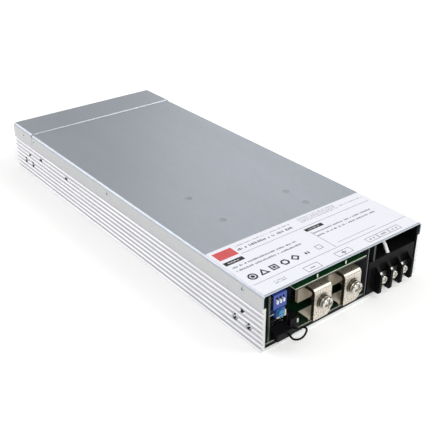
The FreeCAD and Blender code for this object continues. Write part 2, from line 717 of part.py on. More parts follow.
FAN_SIZE = f"({BAY_ROOF} - base_thickness - 2 * fan_clearance)"
FAN_BORE = f"({FAN_SIZE} / 2 - fan_rim)"
FAN_HEIGHT = f"(base_thickness + fan_clearance + {FAN_SIZE} / 2)"
FAN_FRONT = f"({PANEL} - fan_depth)"
FAN_MIDDLE = f"({INNER} - fan_inset)"
FAN_HOLE = f"({FAN_SIZE} / 2 - fan_hole_inset)"
FAN_CORNERS = [(f"{x} * {FAN_HOLE}", f"{z} * {FAN_HOLE}") for x in (-1, 1) for z in (-1, 1)]


def make_rear_panel():
    """The rear panel with a ring-slot finger guard and four holes for each fan."""
    sheet_metal = block((f"-{INNER}", INNER), (PANEL, BACK), ("base_thickness", BAY_ROOF))
    openings = []
    for way in (-1, 1):
        middle = f"{way} * {FAN_MIDDLE}"
        slots = []
        for number in range(int(value("guard_rings"))):
            inner = f"(guard_first + {number} * guard_pitch)"
            outer = f"{inner} + guard_slot"
            slots.append(ring("Y", (middle, PANEL, FAN_HEIGHT), outer, inner, "panel_thickness"))
        reach = "2 * (guard_first + guard_rings * guard_pitch)"
        upright = block(around(middle, "guard_spoke"), (PANEL, BACK), around(FAN_HEIGHT, reach))
        level = block(around(middle, reach), (PANEL, BACK), around(FAN_HEIGHT, "guard_spoke"))
        openings.append(cut(cut(group(slots), upright), level))
        for across, up in FAN_CORNERS:
            at = (f"{middle} + {across}", PANEL, f"{FAN_HEIGHT} + {up}")
            openings.append(rod("Y", at, "fan_hole_radius", "panel_thickness"))
    finish("rear_panel", cut(sheet_metal, *openings))


def make_fan_frame(name, way):
    """The square frame of a fan, with the struts, motor base and bearing tube behind its duct."""
    frame = new_body(f"fan_frame_{name}")
    square = sketch(frame, "XZ")
    rectangle(square, around("0", FAN_SIZE), around("0", FAN_SIZE))
    circle(square, ("0", "0"), FAN_BORE)
    for centre in FAN_CORNERS:
        circle(square, centre, "fan_hole_radius")
    pad(frame, square, "fan_depth")
    strut_front = "fan_depth - strut_depth"
    reach = f"2 * {FAN_BORE} + fan_rim"
    for across, up in ((reach, "strut_width"), ("strut_width", reach)):
        strut = sketch(frame, "XZ", strut_front)
        rectangle(strut, around("0", across), around("0", up))
        pad(frame, strut, "strut_depth")
    base = sketch(frame, "XZ", strut_front)
    circle(base, ("0", "0"), "hub_radius")
    pad(frame, base, "strut_depth")
    tube_front = "(hub_front + hub_face + bearing_gap)"
    tube = sketch(frame, "XZ", tube_front)
    circle(tube, ("0", "0"), "bearing_radius")
    pad(frame, tube, f"fan_depth - {tube_front}")
    bore = sketch(frame, "XZ", tube_front)
    circle(bore, ("0", "0"), "shaft_radius + shaft_clearance")
    pocket(frame, bore, f"fan_depth - {tube_front} - shaft_end / 2", 1)
    place(frame, (f"{way} * {FAN_MIDDLE}", FAN_FRONT, FAN_HEIGHT))


def make_fan_rotor(name, way):
    """The rotor of a fan: a cup and shaft with twisted blades, trimmed to the duct."""
    rotor = new_body(f"fan_rotor_{name}")
    face = sketch(rotor, "XZ", "hub_front")
    circle(face, ("0", "0"), "hub_radius")
    pad(rotor, face, "hub_face")
    cup = sketch(rotor, "XZ", "hub_front")
    circle(cup, ("0", "0"), "hub_radius")
    circle(cup, ("0", "0"), "hub_radius - hub_wall")
    pad(rotor, cup, "hub_length")
    shaft = sketch(rotor, "XZ", "hub_front")
    circle(shaft, ("0", "0"), "shaft_radius")
    pad(rotor, shaft, "fan_depth - shaft_end - hub_front")

    sections = []
    for reach, width in (("hub_radius - 2 * hub_wall", "blade_root"), (f"{FAN_BORE} + hub_wall", "blade_tip")):
        section = sketch(rotor, "YZ", reach)
        low, high = around("0", width)
        outline(section, [
            ("blade_front", f"{low} - blade_thickness / 2"),
            ("blade_front + blade_length", f"{high} - blade_thickness / 2"),
            ("blade_front + blade_length", f"{high} + blade_thickness / 2"),
            ("blade_front", f"{low} + blade_thickness / 2"),
        ])
        sections.append(section)
    blade = rotor.newObject("PartDesign::AdditiveLoft", "Blade")
    blade.Profile = sections[0]
    blade.Sections = sections[1:]
    blade.Ruled = True
    blades = rotor.newObject("PartDesign::PolarPattern", "Blades")
    blades.Originals = [blade]
    blades.Axis = (origin(rotor, "Y_Axis"), [""])
    blades.Angle = 360
    bind(blades, Occurrences="blade_count")
    rotor.Tip = blades

    trim = sketch(rotor, "XZ")
    circle(trim, ("0", "0"), f"{FAN_BORE} - blade_gap")
    circle(trim, ("0", "0"), f"2 * {FAN_BORE}")
    through(rotor, trim)
    inside = sketch(rotor, "XZ", "hub_front + hub_face")
    circle(inside, ("0", "0"), "hub_radius - hub_wall")
    circle(inside, ("0", "0"), "shaft_radius")
    pocket(rotor, inside, "fan_depth", 1)
    place(rotor, (f"{way} * {FAN_MIDDLE}", FAN_FRONT, FAN_HEIGHT))


def make_fan_screws():
    """Pan-head screws through the rear panel into the corners of both fan frames."""
    screws = []
    for way in (-1, 1):
        for across, up in FAN_CORNERS:
            at = (f"{way} * {FAN_MIDDLE} + {across}", BACK, f"{FAN_HEIGHT} + {up}")
            head = rod("Y", at, "fan_screw_head_radius", "fan_screw_head_height")
            screws.append(fuse(head, rod("-Y", at, "fan_screw_radius", "fan_screw_length")))
    finish("fan_screws", group(screws))


BOARD_FRONT = f"({FRONT} + board_inset)"
CONTROL_FACE = f"(control_board_gap + board_thickness - {LINED})"
SWITCH_FACE = f"({FRONT} + dip_inset)"
SWITCH_LEFT = f"({CONTROL_FACE} + dip_gap)"
SWITCH_BOTTOM = f"({ROOF} - dip_drop - dip_height)"
TRIMMER_LEFT = f"({CONTROL_FACE} + trimmer_reach)"
TRIMMER_BOTTOM = f"({SWITCH_BOTTOM} - trimmer_drop - trimmer_size)"
OUTPUT_LEFT = f"({SWITCH_LEFT} + dip_width + output_board_gap)"
OUTPUT_BOARD = f"({ROOF} - output_board_drop)"


def make_boards():
    """The main board on its spacers, the output board on its posts, and the upright control board."""
    body = new_body("main_board")
    edge = f"({LINED} - board_margin)"
    bay = f"({FRONT} + ac_bay_depth)"
    step = "(partition_x - board_margin)"
    far = f"({BAY} - liner_inset - board_margin)"
    left = [(f"-{edge}", far), (f"-{edge}", BOARD_FRONT)]
    profile = sketch(body, "XY", BOARD)
    outline(profile, left + [(step, BOARD_FRONT), (step, bay), (edge, bay), (edge, far)])
    for centre in BOARD_SCREWS:
        circle(profile, centre, "board_screw_radius + fit_gap")
    pad(body, profile, "board_thickness")

    spacers = []
    screws = []
    for centre in BOARD_SCREWS:
        foot = (*centre, "base_thickness")
        spacers.append(ring("Z", foot, "spacer_radius", "board_screw_radius + fit_gap", "spacer_height"))
        head = rod("Z", (*centre, BOARD_TOP), "board_head_radius", "board_head_height")
        screws.append(fuse(head, rod("Z", (*centre, "fit_gap"), "board_screw_radius", f"{BOARD_TOP} - fit_gap")))
    finish("board_spacers", group(spacers))
    finish("board_screws", group(screws))

    rear = f"({BOARD_FRONT} + output_board_length)"
    upright = (OUTPUT_BOARD, f"{OUTPUT_BOARD} + board_thickness")
    finish("output_board", block((OUTPUT_LEFT, "output_board_right"), (BOARD_FRONT, rear), upright))
    posts = []
    for centre in (
        (f"{OUTPUT_LEFT} + post_inset", f"{BOARD_FRONT} + post_front"),
        (f"{OUTPUT_LEFT} + post_inset", f"{rear} - post_inset"),
        ("output_board_right - post_inset", f"{rear} - post_inset"),
    ):
        posts.append(rod("Z", (*centre, BOARD_TOP), "post_radius", f"{OUTPUT_BOARD} - {BOARD_TOP}"))
    finish("output_board_posts", group(posts))

    across = (f"{CONTROL_FACE} - board_thickness", CONTROL_FACE)
    along = (BOARD_FRONT, f"{BOARD_FRONT} + control_board_length")
    finish("control_board", block(across, along, (BOARD_TOP, f"{ROOF} - control_board_drop")))


def make_dip_switch():
    """A three-way slide switch that faces the front; returns its pins to the control board."""
    across = (SWITCH_LEFT, f"{SWITCH_LEFT} + dip_width")
    along = (SWITCH_FACE, f"{SWITCH_FACE} + dip_depth")
    case = block(across, along, (SWITCH_BOTTOM, f"{SWITCH_BOTTOM} + dip_height"))
    low = f"({SWITCH_BOTTOM} + dip_height - lever_drop - lever_height)"
    slots = []
    pins = []
    for number in (1, 2, 3):
        centre = f"{SWITCH_LEFT} + dip_width / 2 + {number - 2} * lever_pitch"
        slot_up = (f"{low} - lever_gap", f"{low} + lever_height + lever_travel + lever_gap")
        slot_along = (SWITCH_FACE, f"{SWITCH_FACE} + lever_slot_depth")
        slots.append(block(around(centre, "lever_width + 2 * lever_gap"), slot_along, slot_up))
        reach = (f"{SWITCH_FACE} - lever_proud", f"{SWITCH_FACE} + lever_slot_depth - lever_gap")
        lever = block(around(centre, "lever_width"), reach, (low, f"{low} + lever_height"))
        finish(f"dip_lever_{number}", lever)
        for share in (1, 3):
            pin_along = around(f"{SWITCH_FACE} + {share} * dip_depth / 4", "pin_size")
            pin_up = around(f"{SWITCH_BOTTOM} + {number} * dip_height / 4", "pin_size")
            pins.append(block((CONTROL_FACE, SWITCH_LEFT), pin_along, pin_up))
    finish("dip_switch_body", cut(case, *slots))
    return pins


def make_trimmer():
    """The trimmer under the switch, with a slotted rotor that turns; returns its pins."""
    across = (TRIMMER_LEFT, f"{TRIMMER_LEFT} + trimmer_size")
    along = (SWITCH_FACE, f"{SWITCH_FACE} + trimmer_depth")
    case = block(across, along, (TRIMMER_BOTTOM, f"{TRIMMER_BOTTOM} + trimmer_size"))
    centre = f"({TRIMMER_LEFT} + trimmer_size / 2)"
    middle = f"({TRIMMER_BOTTOM} + trimmer_size / 2)"
    bore_radius = "trimmer_shaft_radius + shaft_clearance"
    bore = rod("Y", (centre, SWITCH_FACE, middle), bore_radius, "trimmer_shaft_length + trimmer_gap")
    finish("trimmer_body", cut(case, bore))

    front = f"({SWITCH_FACE} - trimmer_gap - trimmer_rotor_depth)"
    disc = rod("Y", (centre, front, middle), "trimmer_rotor_radius", "trimmer_rotor_depth")
    shaft_length = f"{SWITCH_FACE} - {front} + trimmer_shaft_length"
    shaft = rod("Y", (centre, front, middle), "trimmer_shaft_radius", shaft_length)
    slot_along = (front, f"{front} + trimmer_rotor_depth / 2")
    slot = block(around(centre, "2 * trimmer_rotor_radius"), slot_along, around(middle, "pin_size"))
    finish("trimmer_rotor", cut(fuse(disc, shaft), slot))

    places = [around(f"{SWITCH_FACE} + {share} * trimmer_depth / 4", "pin_size") for share in (1, 3)]
    return [block((CONTROL_FACE, TRIMMER_LEFT), pin_along, around(middle, "pin_size")) for pin_along in places]


def tube_along(name, route, radius):
    """A round tube along straight runs joined by tangent arcs."""
    arc_share = 0.45
    points = [FreeCAD.Vector(*point) for point in route]
    edges = []
    start = points[0]
    for before, corner, after in zip(points, points[1:], points[2:]):
        arriving = (corner - before).normalize()
        leaving = (after - corner).normalize()
        reach = arc_share * min((corner - before).Length, (after - corner).Length)
        turn = arriving.getAngle(leaving)
        arc_radius = reach / math.tan(turn / 2)
        print(f"{name}: bend radius {arc_radius:.1f} mm over {math.degrees(turn):.0f} degrees")
        begin = corner - arriving * reach
        end = corner + leaving * reach
        inward = (leaving - arriving).normalize()
        middle = corner + inward * (arc_radius / math.cos(turn / 2) - arc_radius)
        edges.append(Part.LineSegment(start, begin).toShape())
        edges.append(Part.Arc(begin, middle, end).toShape())
        start = end
    edges.append(Part.LineSegment(start, points[-1]).toShape())
    path = Part.Wire(edges)
    section = Part.Wire([Part.Circle(points[0], points[1] - points[0], radius).toShape()])
    tube = doc.addObject("Part::Feature", "Cord")
    tube.Shape = path.makePipeShell([section], True, False)
    share = tube.Shape.Volume / (math.pi * radius ** 2 * path.Length)
    print(f"{name}: {path.Length:.1f} mm long, volume {share:.4f} of section times length")
    finish(name, tube)


# The jumper wire from the plug round to the link socket: its points as chosen, (x, y, z)
WIRE_ROUTE = [
    (-53.0, -172.0, 8.4),
    (-53.0, -174.9, 8.4),
    (-52.8, -178.3, 8.0),
    (-50.2, -180.7, 7.2),
    (-46.4, -179.7, 6.7),
    (-42.9, -176.7, 6.4),
    (-40.0, -173.4, 6.3),
    (-39.9, -171.2, 6.4),
    (-41.7, -170.3, 6.6),
    (-43.6, -170.9, 6.8),
    (-45.0, -169.8, 7.0),
    (-45.0, -168.2, 7.0),
]


def make_signal_connectors():
    """The connector stack with its plug, and the link socket with its window; returns the stack's pins."""
    body = new_body("signal_header")
    face = f"({FRONT} + header_inset)"
    left = f"({CONTROL_FACE} + header_gap)"
    right = f"({left} + header_width)"
    top = f"({TRIMMER_BOTTOM} - header_drop)"
    front = sketch(body, "XZ", face)
    rectangle(front, (left, right), (BOARD_TOP, top))
    pad(body, front, "header_depth")
    inside = (f"{left} + header_wall", f"{right} - header_wall")
    middle = f"({BOARD_TOP} + {top}) / 2"
    lower = (f"{BOARD_TOP} + header_wall", f"{middle} - header_wall / 2")
    upper = (f"{middle} + header_wall / 2", f"{top} - header_wall")
    cavities = sketch(body, "XZ", face)
    rectangle(cavities, inside, lower)
    rectangle(cavities, inside, upper)
    pocket(body, cavities, "cavity_depth", 1)

    plug_along = (f"{FRONT} - plug_proud", f"{face} + cavity_depth")
    plug_up = (lower[0], f"{lower[1]} - 2 * plug_gap")
    finish("signal_plug", block((f"{inside[0]} + plug_gap", f"{inside[1]} - plug_gap"), plug_along, plug_up))

    across = (f"{right} + socket_gap", f"{right} + socket_gap + socket_width")
    along = (f"{FRONT} - socket_proud", f"{FRONT} - socket_proud + socket_depth")
    finish("link_socket", block(across, along, (BOARD_TOP, f"{BOARD_TOP} + socket_height")))
    window = (f"{across[1]} - led_margin - led_width", f"{across[1]} - led_margin")
    window_top = f"{BOARD_TOP} + socket_height - led_margin"
    window_along = (f"{along[0]} - led_depth", along[0])
    finish("status_led", block(window, window_along, (f"{window_top} - led_height", window_top)))

    pins = []
    count = int(value("(header_width - 2 * header_wall) / pin_pitch")) - 1
    pin_along = (f"{face} + header_wall", f"{face} + cavity_depth")
    for level in (-1, 1):
        pin_up = around(f"({upper[0]} + {upper[1]}) / 2 + {level} * pin_pitch / 2", "pin_size")
        for number in range(count):
            offset = number - (count - 1) / 2
            pin_across = around(f"({left} + {right}) / 2 + {offset} * pin_pitch", "pin_size")
            pins.append(block(pin_across, pin_along, pin_up))
    return pins


DC_FACE = f"({FRONT} - dc_proud)"
DC_BACK = f"({DC_FACE} + dc_reach)"
DC_SIDES = (("negative", 1, -1), ("positive", 2, 1))


def make_dc_terminal(name, centre):
    """A bent terminal bar: the face with cut lower corners, the top run and the foot."""
    low, high = around(centre, "dc_width")
    plate = doc.addObject("PartDesign::Body", "Body")
    face = sketch(plate, "XZ", DC_FACE)
    outline(face, [
        (low, BOARD_TOP),
        (f"{high} - dc_corner", BOARD_TOP),
        (high, f"{BOARD_TOP} + dc_corner"),
        (high, "dc_top"),
        (low, "dc_top"),
    ])
    circle(face, (centre, "dc_screw_height"), "dc_screw_radius + dc_hole_gap")
    pad(plate, face, "dc_thickness")
    run = (f"{DC_FACE} + dc_thickness", DC_BACK)
    top = block((low, high), run, ("dc_top - dc_thickness", "dc_top"))
    foot = block((f"{low} - foot_extra", f"{high} - dc_corner"), run, (BOARD_TOP, f"{BOARD_TOP} + foot_thickness"))
    bend = FreeCAD.Vector(value(centre), value(DC_FACE), value("dc_top"))
    finish(f"dc_terminal_{name}", rounded(fuse(plate, top, foot), "dc_bend", bend))


def make_dc_screw(number, centre):
    """A terminal screw with its flat and spring washers; returns the clinch nut behind the bar."""
    hole = "dc_screw_radius + dc_hole_gap"
    seat = (centre, DC_FACE, "dc_screw_height")
    flat = ring("-Y", seat, "flat_washer_radius", hole, "flat_washer_thickness")
    on_flat = f"({DC_FACE} - flat_washer_thickness)"
    coil = ring("-Y", (centre, on_flat, seat[2]), "spring_washer_radius", hole, "spring_washer_thickness")
    on_spring = f"({on_flat} - spring_washer_thickness)"
    split_up = ("dc_screw_height", "dc_screw_height + spring_washer_radius")
    spring = cut(coil, block(around(centre, "spring_washer_split"), (on_spring, on_flat), split_up))
    finish(f"dc_washers_{number}", group([flat, spring]))

    under = (centre, on_spring, "dc_screw_height")
    head = rod("-Y", under, "dc_head_radius", "dc_head_height")
    finish(f"dc_screw_{number}", fuse(head, rod("Y", under, "dc_screw_radius", "dc_screw_length")))

    behind = (centre, f"{DC_FACE} + dc_thickness", "dc_screw_height")
    nut = doc.addObject("Part::Prism", "Nut")
    nut.Polygon = 6
    nut.Placement = FreeCAD.Placement(FreeCAD.Vector(), TURNS["Y"])
    bind(nut, Circumradius="dc_nut_size / sqrt(3)", Height="dc_nut_height")
    place(nut, behind)
    return cut(nut, rod("Y", behind, "dc_screw_radius + thread_gap", "dc_nut_height"))


def make_dc_side():
    """Both DC terminals with their hardware, and the bus bars up to the output board."""
    nuts = []
    bars = []
    for name, number, way in DC_SIDES:
        centre = f"({way} * dc_pitch / 2 - dc_middle)"
        make_dc_terminal(name, centre)
        nuts.append(make_dc_screw(number, centre))
        across = around(centre, "dc_width + 2 * bus_extra")
        bars.append(block(across, (DC_BACK, f"{DC_BACK} + bus_thickness"), ("bus_bottom", OUTPUT_BOARD)))
    finish("dc_nuts", group(nuts))
    finish("dc_bus_bars", group(bars))


BLOCK_LEFT = "(partition_x + partition_thickness + block_clearance)"
BLOCK_RIGHT = f"({LINED} - nut_plate_thickness - block_gap)"
BLOCK_FACE = f"({FRONT} + fit_gap)"
BARRIER_SPAN = "(barrier_pitch * (barrier_count - 1))"
FIRST_BARRIER = f"({BLOCK_RIGHT} - barrier_right - barrier_thickness - {BARRIER_SPAN})"


def make_ac_block():
    """The barrier terminal block, moulded in one piece with its barriers."""
    body = new_body("ac_terminal_block")
    moulding = sketch(body, "YZ", BLOCK_LEFT)
    rectangle(moulding, (BLOCK_FACE, f"{BLOCK_FACE} + block_depth"), (FLOOR, "block_top"))
    pad(body, moulding, f"{BLOCK_RIGHT} - {BLOCK_LEFT}")
    tip = f"({FRONT} - barrier_proud)"
    root = f"({BLOCK_FACE} + barrier_thickness)"
    wall = sketch(body, "YZ", FIRST_BARRIER)
    outline(wall, [
        (root, FLOOR),
        (root, "barrier_top + barrier_slope"),
        (BLOCK_FACE, "barrier_top + barrier_slope"),
        (tip, "barrier_top"),
        (tip, f"{FLOOR} + barrier_chamfer"),
        (f"{tip} + barrier_chamfer", FLOOR),
    ])
    barrier = pad(body, wall, "barrier_thickness")
    row(body, barrier, "X", BARRIER_SPAN, "barrier_count")
    bores = sketch(body, "XZ", BLOCK_FACE)
    for centre in slot_middles():
        circle(bores, (centre, "ac_screw_height"), "ac_screw_radius + thread_gap")
    pocket(body, bores, "ac_screw_length", 1)


def slot_middles():
    """Middles of the slots between the barriers."""
    count = int(value("barrier_count")) - 1
    return [f"({FIRST_BARRIER} + barrier_thickness / 2 + {n + 0.5} * barrier_pitch)" for n in range(count)]


def make_ac_contacts():
    """A contact strip, a square clamp and a screw in each slot of the block."""
    contacts = []
    width = "barrier_pitch - barrier_thickness - 2 * contact_margin"
    hole = "ac_screw_radius + dc_hole_gap"
    strip_front = f"({BLOCK_FACE} - contact_thickness)"
    clamp_front = f"({strip_front} - clamp_thickness)"
    for number, centre in enumerate(slot_middles(), start=1):
        across = around(centre, width)
        strip = block(across, (strip_front, BLOCK_FACE), (f"{FLOOR} + contact_margin", "contact_top"))
        at = (centre, strip_front, "ac_screw_height")
        contacts.append(cut(strip, rod("Y", at, hole, "contact_thickness")))
        square = block(across, (clamp_front, strip_front), around("ac_screw_height", "clamp_height"))
        seat = (centre, clamp_front, "ac_screw_height")
        finish(f"ac_clamp_{number}", cut(square, rod("Y", seat, hole, "clamp_thickness")))
        head = rod("-Y", seat, "ac_head_radius", "ac_head_height")
        finish(f"ac_screw_{number}", fuse(head, rod("Y", seat, "ac_screw_radius", "ac_screw_length")))
    finish("ac_contacts", group(contacts))


def make_ac_side():
    """The terminal block in its bay: the partition beside it and the upright board on it."""
    make_ac_block()
    make_ac_contacts()
    across = ("partition_x", "partition_x + partition_thickness")
    along = (BLOCK_FACE, f"{FRONT} + ac_bay_depth - board_margin")
    finish("partition", block(across, along, (FLOOR, ROOF)))
    left = f"({BLOCK_LEFT} + inlet_board_gap)"
    along = (BLOCK_FACE, f"{BLOCK_FACE} + block_depth")
    finish("inlet_board", block((left, f"{left} + board_thickness"), along, ("block_top", f"{ROOF} - fit_gap")))


# The pale lead from the terminal block to the first choke: its points as chosen, (x, y, z)
LEAD_ROUTE = [
    (41.0, -165.4, 27.6),
    (41.0, -165.4, 31.0),
    (40.6, -163.7, 34.6),
    (39.9, -159.9, 37.3),
    (39.3, -154.6, 38.1),
    (38.9, -149.2, 37.0),
    (38.8, -144.7, 33.8),
    (39.0, -142.0, 30.0),
    (39.0, -142.0, 26.6),
]


def make_heat_spreaders():
    """Aluminium bars pulled against the lined walls, with a row of transistors on each."""
    spreaders = []
    transistors = []
    near = f"({HEAT_SCREWS[0][0]} - spreader_margin)"
    far = f"({HEAT_SCREWS[1][0]} + spreader_margin)"
    inside = f"({LINED} - spreader_thickness)"
    foot = f"({BOARD_TOP} + transistor_thickness)"
    count = int(value("transistor_count"))
    for way in (-1, 1):
        across = on_side(way, inside, LINED)
        bar = block(across, (near, far), (BOARD_TOP, f"{ROOF} - spreader_drop"))
        holes = [
            rod("X", (across[0], *centre), "heat_screw_radius + fit_gap", "spreader_thickness")
            for centre in HEAT_SCREWS
        ]
        spreaders.append(cut(bar, *holes))
        across = on_side(way, f"{inside} - transistor_thickness", inside)
        for number in range(count):
            along = around(f"{near} + ({far} - {near}) * {number + 0.5} / {count}", "transistor_width")
            transistors.append(block(across, along, (foot, f"{foot} + transistor_height")))
    finish("heat_spreaders", group(spreaders))
    finish("transistors", group(transistors))


def make_transformers():
    """Two transformers, each a window core round a flat-sided winding."""
    cores = []
    windings = []
    for way in (-1, 1):
        centre = f"{way} * transformer_x"
        along = around("-transformer_y", "core_length")
        outer = block(around(centre, "core_width"), along, (BOARD_TOP, f"{BOARD_TOP} + core_height"))
        window_up = (f"{BOARD_TOP} + core_leg", f"{BOARD_TOP} + core_height - core_leg")
        window_across = around(centre, "core_width - 2 * core_leg")
        cores.append(cut(outer, block(window_across, along, window_up)))
        wound_along = around("-transformer_y", "core_length + 2 * winding_bulge")
        windings.append(block(window_across, wound_along, window_up))
    finish("transformer_cores", group(cores))
    finish("transformer_windings", group(windings))


def make_chokes_and_capacitors():
    """Ring chokes and upright capacitors on the main board."""
    across = f"{LINED} - choke_gap"
    chokes = [
        ring("Z", (*centre, BOARD_TOP), "choke_radius", "choke_hole", "choke_height")
        for centre in (
            (across, f"{FRONT} + choke_front"),
            (across, f"{FRONT} + choke_front + choke_pitch"),
            ("0", f"{BAY} - choke_rear"),
        )
    ]
    finish("chokes", group(chokes))

    height = f"{ROOF} - bulk_drop - {BOARD_TOP}"
    bulk = [
        rod("Z", (f"{number} * bulk_pitch", f"{BAY} - bulk_rear", BOARD_TOP), "bulk_radius", height)
        for number in (-1, 0, 1)
    ]
    finish("bulk_capacitors", group(bulk))

    can_height = f"{OUTPUT_BOARD} - can_drop - {BOARD_TOP}"
    cans = []
    for column in range(4):
        for line in range(2):
            across = f"{OUTPUT_LEFT} + can_inset + {column} * can_pitch"
            along = f"{FRONT} + can_front + {line} * can_pitch"
            cans.append(rod("Z", (across, along, BOARD_TOP), "can_radius", can_height))
    finish("output_capacitors", group(cans))


make_chassis()
make_covers()
make_wall_screws()
make_liner()
make_rear_panel()
for side, direction in (("left", -1), ("right", 1)):
    make_fan_frame(side, direction)
    make_fan_rotor(side, direction)
make_fan_screws()
make_boards()
finish("component_pins", group(make_dip_switch() + make_trimmer() + make_signal_connectors()))
tube_along("jumper_wire", WIRE_ROUTE, value("wire_radius"))
make_dc_side()
make_ac_side()
tube_along("ac_lead", LEAD_ROUTE, value("lead_radius"))
make_heat_spreaders()
make_transformers()
make_chokes_and_capacitors()
doc.recompute()

for thing in doc.Objects:
    if "Invalid" in thing.State or "Error" in thing.State:
        raise RuntimeError(f"{thing.Label} did not build: {thing.State}")
os.makedirs("parts", exist_ok=True)
for label, thing in finished.items():
    if thing.Shape.isNull() or not thing.Shape.isValid():
        raise RuntimeError(f"{label} has no valid shape")
    thing.Shape.exportStep(f"parts/{label}.step")
print(f"{len(finished)} sub-parts")
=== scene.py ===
# %% [markdown]
# # A low switching power supply
# The solid pieces of this power supply come ready from its CAD model, in metres, each one where it
# belongs. This lesson gives them their looks: the finish of every metal and plastic, the print on the
# label, the recesses of the screws, the two short wires and the small parts on the boards.
# The solid pieces are loaded first and are never moved or changed.

import bmesh
import bpy
import numpy as np
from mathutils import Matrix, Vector


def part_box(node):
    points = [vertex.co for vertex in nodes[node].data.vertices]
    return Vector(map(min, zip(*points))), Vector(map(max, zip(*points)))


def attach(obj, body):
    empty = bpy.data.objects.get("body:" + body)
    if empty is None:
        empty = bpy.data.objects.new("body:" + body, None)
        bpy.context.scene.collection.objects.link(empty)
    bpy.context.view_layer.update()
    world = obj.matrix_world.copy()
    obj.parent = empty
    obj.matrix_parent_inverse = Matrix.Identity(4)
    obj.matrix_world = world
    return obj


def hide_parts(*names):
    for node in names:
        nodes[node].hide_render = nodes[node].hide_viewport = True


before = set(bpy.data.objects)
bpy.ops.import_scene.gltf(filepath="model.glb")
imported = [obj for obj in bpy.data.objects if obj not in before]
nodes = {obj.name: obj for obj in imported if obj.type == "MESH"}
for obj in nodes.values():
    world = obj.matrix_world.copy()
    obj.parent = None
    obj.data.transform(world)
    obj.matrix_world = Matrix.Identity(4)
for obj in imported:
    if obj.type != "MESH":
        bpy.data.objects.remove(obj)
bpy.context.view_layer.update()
scene = bpy.context.scene
MM = 0.001
print("solid pieces:", len(nodes))

# %% [markdown]
# ## The camera
# The picture shows the front left corner from above. The place, the aim and the lens were worked out
# from the corners of the case, whose three edges run to three vanishing points. A lens of 60 mm on a
# 36 mm sensor gives that mild perspective.

# %% Camera
def new_object(name, data):
    """A new object, linked to the scene."""
    made = bpy.data.objects.new(name, data)
    scene.collection.objects.link(made)
    return made


camera = new_object("camera", bpy.data.cameras.new("camera"))
camera.data.lens = 59.98
camera.data.sensor_width = 36
camera.data.clip_start = 0.01
camera.location = Vector((-303.89, -426.70, 285.84)) * MM
aim = Vector((11.39, -25.24, -1.89)) * MM
camera.rotation_mode = "QUATERNION"
camera.rotation_quaternion = (aim - camera.location).to_track_quat("-Z", "Y")
scene.camera = camera
print("camera to aim:", round((aim - camera.location).length, 3), "m")

# %% [markdown]
# ## The two wires
# A thin black jumper leaves the signal plug, swings out in front of the case and turns back into the
# small socket beside it. A thicker pale lead rises from the terminal block and bends back to the first
# choke. A wire has no corners, so each one is a NURBS line: its control points pull the line towards
# them without it passing through them, which gives the even bends of a springy wire. The order and the
# end setting are given after the points, because a spline with too few points ignores them.

# %% Lay the wires
JUMPER_ROUTE = [
    (-53.0, -172.0, 8.4), (-53.9, -174.9, 8.1), (-54.0, -177.8, 7.9), (-51.4, -179.5, 7.7),
    (-47.0, -179.1, 7.5), (-43.2, -177.0, 7.3), (-40.0, -174.8, 7.1), (-39.3, -172.3, 6.9),
    (-41.3, -170.6, 6.7), (-43.6, -170.9, 6.8), (-45.0, -169.8, 7.0), (-45.0, -168.2, 7.0),
]
LEAD_ROUTE = [
    (39.7, -166.8, 27.6), (40.1, -164.7, 30.6), (40.2, -161.9, 34.2), (39.9, -158.2, 37.2),
    (39.3, -153.6, 38.1), (38.9, -148.6, 37.2), (38.8, -144.4, 34.0), (39.0, -142.0, 30.0),
    (39.0, -142.0, 26.6),
]


def lay_wire(name, node, route, diameter):
    """A round wire: a smooth line pulled along by its control points, thickened to a circle.

    The thickness is the radius of each point times a bevel depth of one.
    """
    curve = bpy.data.curves.new(name, "CURVE")
    curve.dimensions = "3D"
    curve.resolution_u = 10
    curve.bevel_depth = 1.0
    curve.bevel_resolution = 5
    curve.use_fill_caps = True
    points = np.ones((len(route), 4))
    points[:, :3] = np.array(route) * MM
    spline = curve.splines.new("NURBS")
    spline.points.add(len(route) - 1)
    spline.points.foreach_set("co", points.ravel())
    spline.points.foreach_set("radius", np.full(len(route), diameter * MM / 2))
    spline.order_u = 3
    spline.use_endpoint_u = True
    wire = new_object(name, curve)
    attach(wire, "housing")
    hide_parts(node)
    print(name, "has", len(route), "control points")
    return wire


jumper = lay_wire("jumper", "jumper_wire", JUMPER_ROUTE, diameter=1.3)
lead = lay_wire("block_lead", "ac_lead", LEAD_ROUTE, diameter=2.4)

# %% [markdown]
# ## A small tool for shader nodes
# Every finish below is a little network of shader nodes. One function fills the sockets of a node and one
# adds a node with its settings. Colours are written as the hex values that a screen shows, and one
# function turns them into the linear values that light works with. Three more add what comes most often:
# a calculation, a change of range and a mix of two tones.

# %% Nodes and colours
def feed(tree, node, inputs):
    """Fill sockets of a node; an input is a constant or the output of another node."""
    for socket, source in dict(inputs).items():
        if isinstance(source, bpy.types.NodeSocket):
            tree.links.new(source, node.inputs[socket])
        else:
            node.inputs[socket].default_value = source
    return node


def add_node(tree, kind, inputs=(), **settings):
    """Add one node with its settings and inputs."""
    made = tree.nodes.new(kind)
    for name, setting in settings.items():
        setattr(made, name, setting)
    return feed(tree, made, inputs)


def linear(hex_colour):
    """A screen colour as linear red, green, blue, alpha: a short straight part, then a power of 2.4."""
    screen = np.array([int(hex_colour[i:i + 2], 16) for i in (0, 2, 4)]) / 255
    light = np.where(screen <= 0.04045, screen / 12.92, ((screen + 0.055) / 1.055) ** 2.4)
    return (*light.tolist(), 1.0)


def calculate(tree, operation, *inputs):
    """The output of a Math node, named by its operation."""
    return add_node(tree, "ShaderNodeMath", enumerate(inputs), operation=operation).outputs[0]


